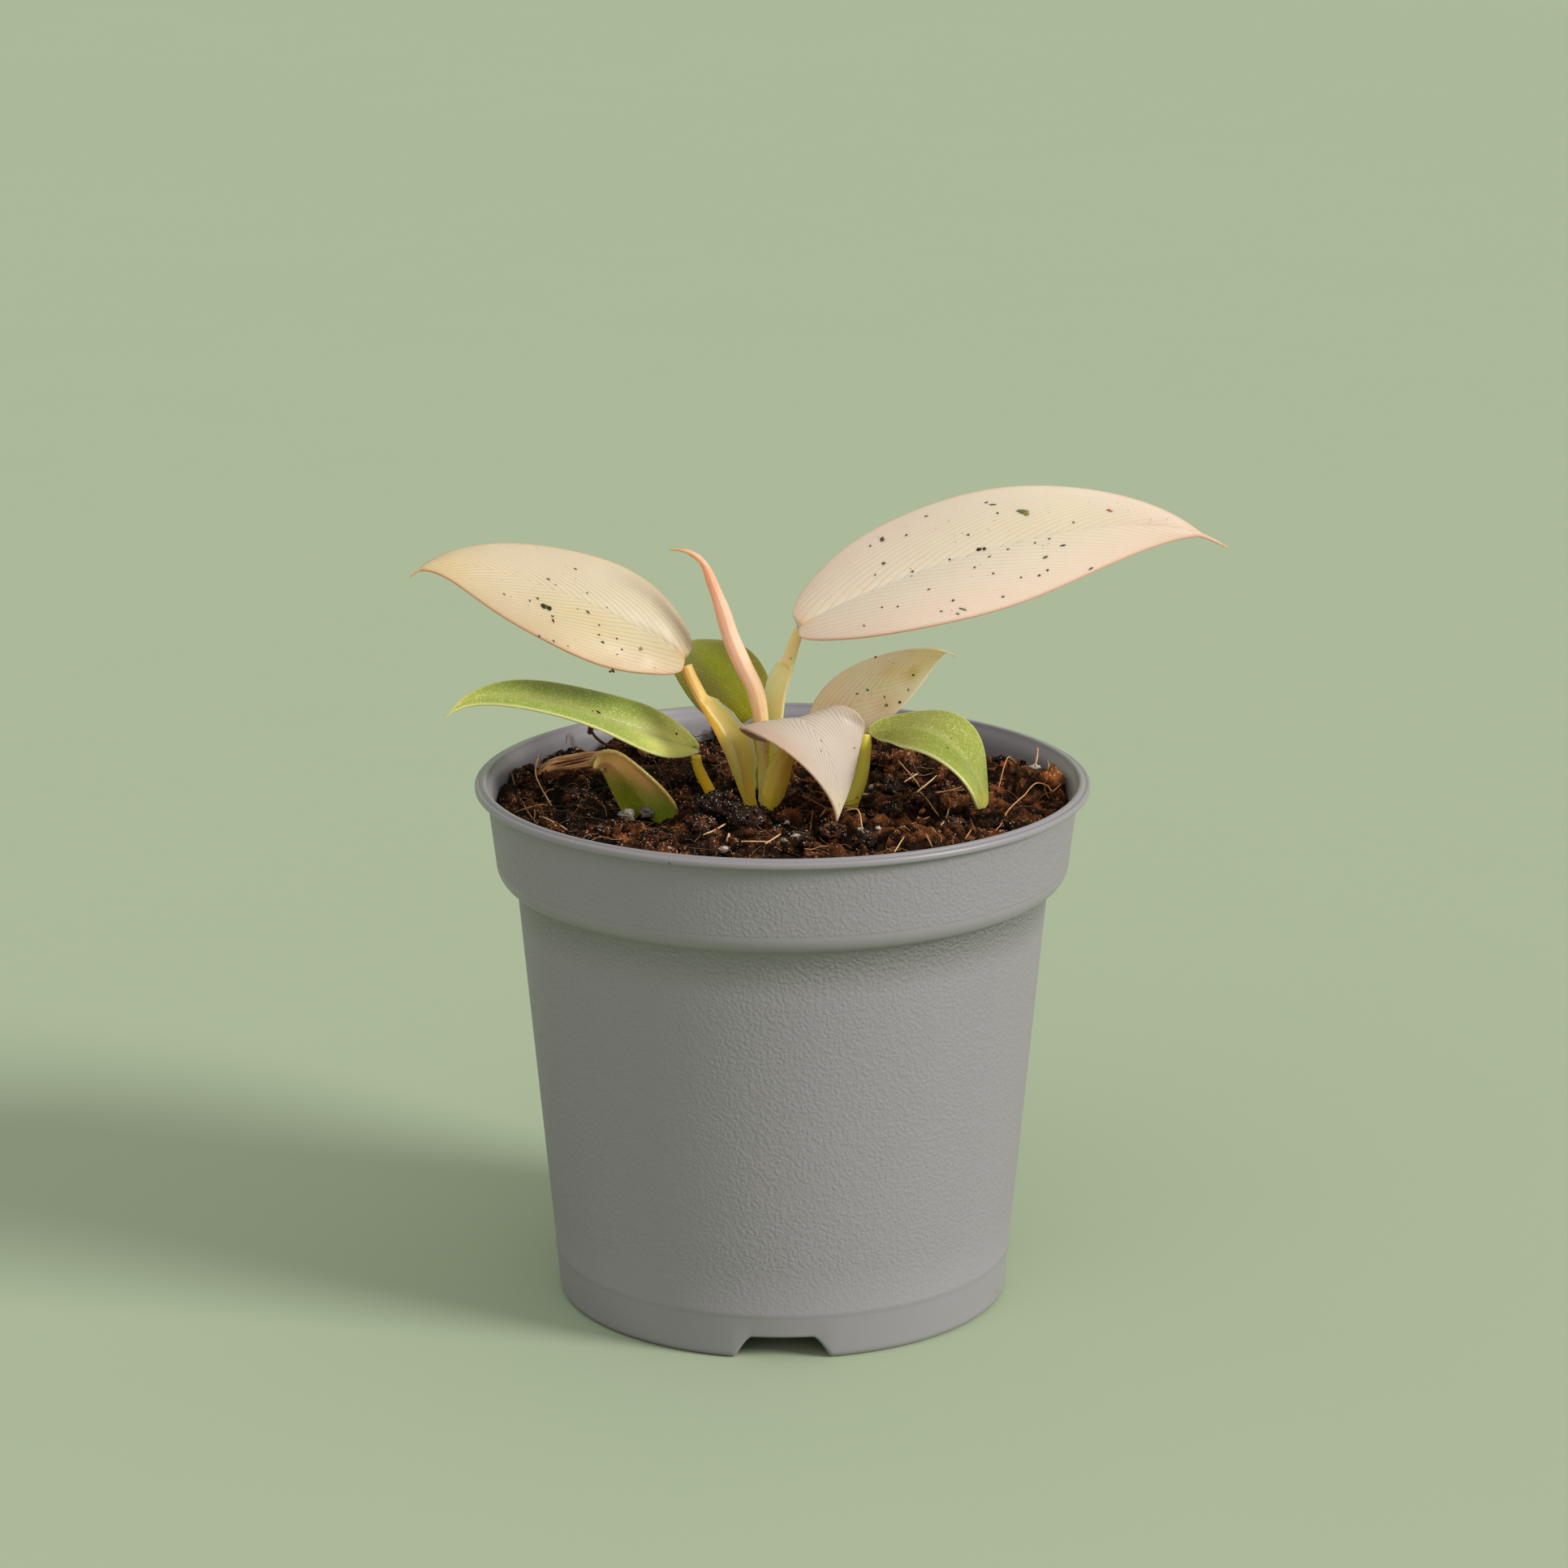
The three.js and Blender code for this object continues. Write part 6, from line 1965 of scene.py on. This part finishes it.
def stalks() -> list[Stalk]:
    """The seven leaf stalks and the rolled new leaf."""
    gold = StalkFinish("golden_stalk", streak=tone(232, 204, 120))
    pale = StalkFinish("pale_stalk", streak=tone(246, 226, 168), spot_share=0.08)
    amber = StalkFinish("amber_stalk", streak=tone(196, 140, 76), streak_share=0.4, spot_share=0.24)
    green = StalkFinish("green_stalk", streak=tone(196, 186, 70), spot_share=0.08)
    rolled = StalkFinish(
        "rolled_leaf", streak=tone(244, 190, 158), spot=tone(228, 140, 104), spot_share=0.12,
        roughness=0.4,
    )
    return [
        Stalk(
            "left_leaf_petiole", "petiole", open=(0.8, -0.55, 0.2), finish=gold,
            paint=tone(232, 196, 122),
            path=(
                (-5.4, -3.2, 95.4), (-6, -3.2, 98.8), (-7.5, -3.2, 103.3), (-8.7, -3.2, 106.7),
                (-10.3, -3.2, 110.8), (-12.6, -3, 115.4), (-15.8, -2.2, 120.9), (-17.8, -1.5, 124.8),
                (-18.6, -0.9, 126.7),
            ),
            form=(
                (0, 1, 1, 0, 0), (0.13, 1.4, 1.25, 0.6, 0.3), (0.25, 2.1, 1.3, 1, 0.8),
                (0.36, 2.9, 1.3, 1.2, 1.1), (0.48, 3.2, 1.3, 1.25, 1.2), (0.62, 2.5, 1.3, 1.2, 1.2),
                (0.74, 2, 1.3, 1, 0.9), (0.81, 1.35, 1.3, 0.3, 0.1), (1, 1.25, 1.2, 0.2, 0),
            ),
            washes=(
                Wash((204, 184, 116), 0.55, 0.5, 0.25, 0.4, 0.8),
                Wash((216, 190, 130), 0.5, 0.95, 0.3, 0.2, 0.7),
                Wash((255, 216, 60), 0.1, 0, 0.24, 3, 0.9), Wash((196, 150, 60), 0.95, 0, 0.15, 3, 0.6),
            ),
        ),
        Stalk(
            "right_leaf_petiole", "petiole", open=(-0.6, -0.78, 0.1), finish=pale,
            # Partly painted light: the pale yellow paint and the bright wash at the base are pushed above
            # the stalk's own colour, to make up for the shade of the front leaf.
            paint=tone(255, 240, 186),
            path=(
                (-3.6, 1.9, 95.4), (-3.4, 1.6, 98), (-2.7, 1.5, 103.3), (-2.2, 1.4, 109.2),
                (-1.5, 1.2, 115.8), (-0.8, 1, 121.4), (0.3, 0.8, 125), (1.5, 0.3, 128.7),
                (2.4, -0.3, 131.6), (3.3, -0.9, 134.1),
            ),
            form=(
                (0, 1, 1, 0, 0), (0.1, 1.6, 1.3, 0.7, 0.2), (0.22, 2.1, 1.35, 1, 0.4),
                (0.37, 2.5, 1.35, 1.15, 0.5), (0.7, 2.4, 1.3, 1.15, 0.5), (0.78, 2.1, 1.3, 1, 0.4),
                (0.81, 1.4, 1.25, 0.3, 0), (0.92, 1.15, 1.1, 0.2, 0), (1, 1, 0.95, 0.2, 0),
            ),
            washes=(
                Wash((255, 244, 112), 0.14, 0, 0.3, 3, 1.0),
                Wash((236, 204, 150), 0.6, 0.6, 0.3, 0.5, 0.5),
                Wash((236, 200, 128), 0.95, 0, 0.16, 3, 0.7),
            ),
        ),
        Stalk(
            "front_leaf_petiole", "petiole", open=(-0.5, 0.85, 0.2), finish=amber,
            # Partly painted light: the golden paint and washes are pushed to full brightness, above the
            # stalk's own colour, to make up for the shade of the leaves over it.
            paint=tone(255, 216, 92),
            path=(
                (-2.6, -3.4, 95.4), (-2.4, -3.4, 98.9), (-1.6, -3.4, 101.7), (-0.8, -3.2, 104.6),
                (0.1, -2.8, 107.4), (1.4, -2.3, 110), (3.2, -1.7, 113.6),
            ),
            form=(
                (0, 1.1, 1, 0, 0), (0.18, 1.7, 1.2, 0.5, 0.1), (0.34, 2.8, 1.25, 1.1, 0.3),
                (0.5, 2.9, 1.25, 1.15, 0.3), (0.68, 2.5, 1.2, 1, 0.3), (0.84, 1.4, 1.1, 0.4, 0),
                (1, 1.1, 1, 0.2, 0),
            ),
            washes=(
                Wash((255, 222, 60), 0.1, 0, 0.24, 3, 0.8), Wash((255, 200, 92), 0.6, 0, 0.2, 3, 0.5),
            ),
        ),
        Stalk(
            "back_leaf_petiole", "petiole", open=(0, -0.9, 0.2), finish=green, paint=tone(164, 166, 60),
            rows=60, path=((-5, 4.9, 95.4), (-5, 5.1, 100), (-5.2, 5.8, 106), (-5.5, 6.4, 113.6)),
            form=(
                (0, 1, 1, 0, 0), (0.3, 1.5, 1.1, 0.7, 0.2), (0.7, 1.5, 1.1, 0.7, 0.2),
                (0.9, 1.1, 1, 0.2, 0), (1, 1, 1, 0.2, 0),
            ),
        ),
        Stalk(
            "low_left_leaf_petiole", "petiole", open=(0.5, 0.2, 0.8), finish=green,
            paint=tone(246, 196, 14), rows=70,
            path=(
                (-10.3, 1.7, 92.6), (-12, 2.3, 95.6), (-13.3, 2.6, 98.9), (-14.4, 2.8, 101.3),
                (-15.5, 3, 103.4), (-16.5, 3, 105.7), (-16.8, 3, 107.6),
            ),
            form=(
                (0, 1.1, 1.1, 0, 0), (0.3, 1.4, 1.25, 0.3, 0), (0.7, 1.35, 1.25, 0.3, 0),
                (1, 1.1, 1.05, 0.2, 0),
            ),
            washes=(Wash((164, 160, 50), 0.95, 0, 0.25, 3, 0.6),),
        ),
        Stalk(
            "low_right_leaf_petiole", "petiole", open=(-0.4, 0.8, 0.3), finish=green,
            # Partly painted light: the yellow paint and wash are pushed above the stalk's own colour, to
            # make up for the shade of the leaves over it.
            paint=tone(255, 226, 84), rows=70,
            path=(
                (13, -2.3, 94.9), (13.3, -2.2, 99.1), (14.5, -2, 102.3), (15.3, -1.6, 105),
                (15.7, -1, 108.1), (16, -0.5, 110.7), (16.2, -0.1, 112.8),
            ),
            form=(
                (0, 1.1, 1.1, 0, 0), (0.25, 1.6, 1.3, 0.5, 0.1), (0.6, 1.6, 1.3, 0.6, 0.2),
                (0.85, 1.4, 1.1, 0.3, 0), (1, 1.1, 1, 0.2, 0),
            ),
            washes=(Wash((255, 240, 110), 0.4, 0, 0.2, 3, 0.6),),
        ),
        Stalk(
            "rear_right_leaf_petiole", "petiole", open=(0.3, -0.8, 0.4), finish=green,
            paint=tone(188, 174, 84), rows=60,
            path=(
                (11.6, 0.8, 94.9), (11, 2.6, 99.5), (9.8, 4.6, 104), (8.3, 6.6, 107.6), (7.5, 7.7, 109.8),
            ),
            form=(
                (0, 1, 1, 0, 0), (0.3, 1.3, 1.1, 0.5, 0.1), (0.7, 1.2, 1.1, 0.4, 0),
                (1, 0.9, 0.9, 0.2, 0),
            ),
        ),
        Stalk(
            "spear", "new_leaf", open=(1, 0, 0), finish=rolled, paint=tone(240, 188, 160), rolled=True,
            rows=150,
            path=(
                (-3.8, -0.2, 95.4), (-3.7, -0.3, 98.5), (-3.8, -0.5, 103.8), (-3.9, -0.8, 109.8),
                (-4.2, -1.4, 115.7), (-5.4, -2, 122.2), (-7.7, -2, 127), (-10.1, -2, 132.7),
                (-11.9, -2, 138.6), (-13.5, -2, 143.1), (-15.3, -2.3, 147.4), (-17.5, -2.6, 149.4),
                (-19.7, -3, 150.2), (-21.7, -3.2, 150.3),
            ),
            form=(
                (0, 0.8, 0.8, 0, 0), (0.14, 1, 1, 0, 0), (0.3, 1.5, 1.4, 0, 0), (0.42, 1.85, 1.6, 0, 0),
                (0.55, 1.9, 1.7, 0, 0), (0.68, 1.6, 1.5, 0, 0), (0.8, 1.1, 1.05, 0, 0),
                (0.9, 0.65, 0.6, 0, 0), (1, 0.2, 0.2, 0, 0),
            ),
            washes=(
                Wash((246, 206, 182), 0.6, -0.8, 0.4, 0.4, 0.7),
                Wash((255, 242, 140), 0.1, 0, 0.26, 3, 1.0), Wash((234, 152, 116), 0.85, 0, 0.12, 3, 0.6),
                Wash((196, 132, 90), 1.0, 0, 0.06, 3, 0.8),
            ),
        ),
    ]


def placed_fibres() -> tuple[Fibre, ...]:
    """The fibres that stand out on the mix, each by its way in x, y and lift."""
    pale, dark, bark = (tone(216, 174, 128), tone(128, 82, 52), tone(66, 40, 26))
    return (
        Fibre(((22, 30, 1.6), (25.5, 13.2, 0.9), (27.1, 7.1, 0.2)), 0.2),
        Fibre(((24, 11.5, 0.4), (26.9, 17.2, 1.0)), 0.2, pale),
        Fibre(((24.5, -1.9, 0.6), (27.5, 4, 1.6), (30.4, 10.3, 1.2)), 0.2, pale),
        Fibre(((26.9, 1.3, 1.2), (28, -6, 1.4), (30.2, -11.9, 0.5)), 0.17),
        Fibre(((30.3, -21, 0.4), (31.6, -15, 1.4), (32.2, -9.7, 0.8)), 0.2, pale),
        Fibre(((24.6, -19.8, 0.5), (28.4, -16.4, 0.9)), 0.15),
        Fibre(((29.7, 5, 0.6), (35.6, 3.2, 0.8)), 0.15),
        Fibre(((29.9, 3.2, 0.9), (35.2, 4.6, 0.5)), 0.12),
        Fibre(((21.1, -35.4, 0.2), (23.1, -31.4, 1.0)), 0.17, pale),
        Fibre(((27.2, -30, 0.8), (28.2, -35.7, 0.5)), 0.17),
        Fibre(((34.8, -26.6, 0.5), (36.1, -23, 0.8)), 0.15),
        Fibre(
            (
                (40.7, -23.4, 0.2), (42, -19, 0.9), (43.1, -15.1, 1.1), (47.3, 2.2, 1.2), (50, 6.5, 1.0),
                (51.9, 5.9, 0.9), (52.9, 2.4, 1.2), (54.6, 4.1, 1.8),
            ),
            0.17, tone(206, 150, 100),
        ),
        Fibre(((51.5, 6.7, 0.5), (52.5, 12, 1.6), (52.4, 16.5, 2.6)), 0.17),
        Fibre(((42.4, 7.4, 0.4), (44.5, 15, 1.2), (46.8, 23.3, 0.8)), 0.15),
        Fibre(((50, 18, 0.5), (50.6, 20, 2.4), (50.8, 22, 4.2)), 0.22, pale),
        Fibre(((-43.5, 31.5, 1.4), (-43.2, 30, 4.2)), 0.2, pale),
        Fibre(((-48.6, 22, 2.4), (-48.6, 11.1, 1.6), (-44.9, -0.7, 0.4)), 0.2),
        Fibre(((-53.6, 13, 1.2), (-52.6, 5.7, 0.4)), 0.17, dark),
        Fibre(((-50.6, -4.1, 0.6), (-49.4, -12, 1.1), (-47, -20.8, 0.4)), 0.17, dark),
        Fibre(((-47, -13.1, 0.8), (-44.5, -20, 1.2), (-41, -25.9, 0.4)), 0.2, pale),
        Fibre(((-10.9, -21.9, 1.0), (-13, -25.5, 1.1), (-15.1, -28.8, 0.5)), 0.2, pale),
        Fibre(((-10.6, -30.4, 0.5), (-10.2, -28.4, 1.4), (-10.3, -26.6, 0.9)), 0.3, pale),
        Fibre(((-8.9, -34.4, 0.8), (-2.8, -33.2, 0.8)), 0.17, pale),
        Fibre(((-0.3, -29.5, 1.0), (-3.3, -34.5, 0.5)), 0.2, pale),
        Fibre(((-10.5, 1.1, 0.6), (-9.8, 6, 1.4)), 0.17, pale),
        Fibre(((1.7, 8, 0.5), (3.9, -1.3, 0.8), (8.7, -14.7, 0.4)), 0.17, dark),
        Fibre(((7.1, -17.7, 0.5), (8.6, -10, 0.8)), 0.17, dark),
        Fibre(((11.8, -15.6, 0.9), (14.3, -17.6, 1.3), (15.3, -23.5, 0.6)), 0.17, pale),
        Fibre(((5.8, -12.9, 0.9), (5.3, -20.5, 0.4)), 0.15, dark),
        Fibre(((14.8, 3.4, 1.0), (16.8, 2.8, 1.4)), 0.3, tone(226, 206, 170)),
        Fibre(
            (
                (-38.8, 36, 4.8), (-37.4, 35.6, 3.2), (-34.5, 35.4, 2.3), (-31, 36, 1.8),
                (-28.6, 36.4, 0.8),
            ),
            0.4, bark,
        ),
        Fibre(((-38.9, 36, 3.6), (-38.6, 36, 5.4)), 0.7, bark),
        Fibre(((-32.2, 35.7, 2.0), (-30.6, 36, 4.4)), 0.2, bark),
    )


def placed_lumps() -> tuple[Lump, ...]:
    """The named black and brown lumps of the mix."""
    black, brown, rust = (tone(48, 34, 25), tone(88, 50, 32), tone(150, 82, 46))
    return (
        Lump(-12.4, -15.6, 1.0, (4.3, 3.6, 2.6), black, 2),
        Lump(-7.2, -18.2, 0.6, (3.4, 3.2, 2.2), black, 3),
        Lump(-15.5, -19.5, 0.2, (2.8, 2.6, 1.9), brown, 4),
        Lump(-4.5, -13, 0.4, (2.4, 2.2, 1.8), black, 14), Lump(20.6, 8.6, 0.4, (2.6, 2.2, 1.8), black, 5),
        Lump(21, -11.7, 0.4, (2.2, 2.0, 1.7), black, 6),
        Lump(15.7, -27.6, 0.5, (2.3, 2.1, 1.7), black, 7), Lump(9.5, -22, 0.3, (2.6, 2.4, 1.6), brown, 8),
        Lump(-1.5, -21, 0.2, (2.4, 2.3, 1.5), brown, 9), Lump(26, -4.5, 0.3, (2.4, 2.1, 1.5), brown, 10),
        Lump(43.8, 18.6, 1.0, (1.5, 1.2, 1.1), rust, 11), Lump(52.6, 8.0, 1.2, (0.9, 0.8, 0.8), rust, 12),
        Lump(-6.0, 7.5, 0.2, (3.2, 2.6, 1.6), brown, 13), Lump(-35, -20, 0.2, (2.6, 2.2, 1.4), brown, 15),
        Lump(33, -17, 0.2, (3.2, 2.6, 1.5), brown, 16), Lump(-24, -24, 0.1, (3, 2.4, 1.5), brown, 17),
        Lump(3, -27, 0.0, (3, 2.6, 1.5), black, 18), Lump(-40, 2, 0.1, (3, 2.6, 1.6), brown, 19),
    )


def placed_grit() -> tuple[Lump, ...]:
    """The pale grains: perlite, a shell chip and two weathered lumps."""
    white, grey = (tone(206, 198, 182), tone(150, 142, 128))
    return (
        Lump(15, -22.9, 0.5, (0.5, 0.4, 0.4), white, 1),
        Lump(18.2, -24.6, 0.5, (0.55, 0.4, 0.4), white, 2),
        Lump(17.5, 7.9, 0.6, (0.5, 0.4, 0.4), white, 3), Lump(20.9, 8.8, 1.6, (0.5, 0.4, 0.4), white, 4),
        Lump(0.9, -14.9, 0.5, (0.5, 0.4, 0.35), white, 5),
        Lump(-21.7, -38.6, 0.6, (1.0, 0.4, 0.4), white, 6),
        Lump(-11.1, -35.1, 0.5, (0.9, 0.6, 0.5), tone(200, 184, 166), 7),
        Lump(49.7, 9.7, 1.6, (1.1, 0.4, 0.5), white, 8), Lump(-30, -11.4, 1.2, (1.3, 1.0, 1.1), grey, 9),
        Lump(-26.1, -10.4, 0.9, (1.7, 1.1, 1.0), tone(120, 112, 98), 10),
        Lump(2.4, -31, 0.6, (0.7, 0.5, 0.4), white, 11), Lump(0.2, -33.4, 0.6, (0.6, 0.5, 0.4), grey, 12),
    )


@dataclass(frozen=True)
class Sun:
    """A broad even light: its power, and its spread, turn from the right and height in degrees."""

    name: str
    power: float
    spread: float
    turn: float
    height: float
    colour: Colour = (1.0, 0.985, 0.96)

    def hang(self) -> None:
        """Put the light into the scene."""
        data = bpy.data.lights.new(self.name, "SUN")
        data.energy, data.angle, data.color = self.power, math.radians(self.spread), self.colour
        lamp = placed(self.name, data)
        lamp.rotation_euler = (0.5 * math.pi - math.radians(self.height), 0, math.radians(self.turn + 90))


@dataclass
class Stage:
    """Pale floor swept up into a backdrop, soft lights, and the camera at the photograph's angle."""

    width: float = 12.0
    front: float = -4.0
    bend_start: float = 4.5
    bend: float = 1.5
    top: float = 6.0
    columns: int = 12
    eye: Point = (0.00028, -1.0, 0.3741)
    pitch: float = 0.265
    lens: float = 121.9
    sensor: float = 36.0
    clip: tuple[float, float] = (0.01, 20)
    key: Sun = Sun("key_light", power=2.75, spread=20.0, turn=-24.0, height=27.0)
    fill: Sun = Sun("fill_light", power=0.35, spread=60.0, turn=-108.0, height=40.0)
    world_light: float = 0.53

    def floor(self, effects: Effects) -> None:
        """Sweep a flat line, a quarter circle and an upright line sideways, in metres."""
        turn = np.linspace(0, 0.5 * math.pi, 24)
        ahead = np.linspace(self.front, self.bend_start, self.columns)
        curve = np.stack([self.bend_start + self.bend * np.sin(turn), self.bend * (1 - np.cos(turn))], -1)
        top = [[self.bend_start + self.bend, self.top]]
        line = np.concatenate([np.stack([ahead, np.zeros(self.columns)], -1), curve[1:], top])
        x = np.linspace(-0.5, 0.5, self.columns)[None, :] * self.width
        points = np.stack(np.broadcast_arrays(x, line[:, :1], line[:, 1:]), -1).reshape(-1, 3)
        i, j = np.meshgrid(np.arange(len(line) - 1), np.arange(self.columns - 1), indexing="ij")
        near = i * self.columns + j
        faces = np.stack([near, near + 1, near + self.columns + 1, near + self.columns], -1).reshape(-1, 4)
        mesh = bpy.data.meshes.new("floor_sweep")
        mesh.from_pydata(points.tolist(), [], faces.tolist())
        mesh.polygons.foreach_set("use_smooth", np.ones(len(faces), bool))
        mesh.materials.append(StageFinish().build(effects))
        floor = placed("floor_sweep", mesh)

    def build(self, effects: Effects) -> None:
        """Build the floor, the lights and the camera."""
        self.floor(effects)
        self.key.hang()
        self.fill.hang()
        scene = bpy.context.scene
        world = bpy.data.worlds.new("soft_room")
        world.use_nodes = True
        sky = world.node_tree.nodes["Background"]
        sky.inputs["Color"].default_value = opaque((1.0, 1.0, 1.0))
        sky.inputs["Strength"].default_value = self.world_light
        scene.world = world
        scene.view_settings.view_transform = "Standard"
        data = bpy.data.cameras.new("camera")
        data.lens, data.sensor_width = self.lens, self.sensor
        data.clip_start, data.clip_end = self.clip
        camera = placed("camera", data)
        camera.location = self.eye
        camera.rotation_euler = (0.5 * math.pi - self.pitch, 0, 0)
        scene.camera = camera


def main() -> None:
    """Build the plant piece by piece, then the stage."""
    logging.basicConfig(level=logging.INFO, format="%(message)s")
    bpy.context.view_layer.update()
    effects = Effects()
    pot = Pot()
    pot.build(effects)
    PottingMix(pot, placed_fibres(), placed_lumps(), placed_grit()).build(effects)
    HuskChip().build(effects)
    Rootstocks().dress(effects)
    for stalk in stalks():
        stalk.build(effects)
    fleck_skin = FleckFinish().build(effects)
    for make in LEAVES:
        make().build(effects, fleck_skin)
    Stage().build(effects)


if __name__ == "__main__":
    main()
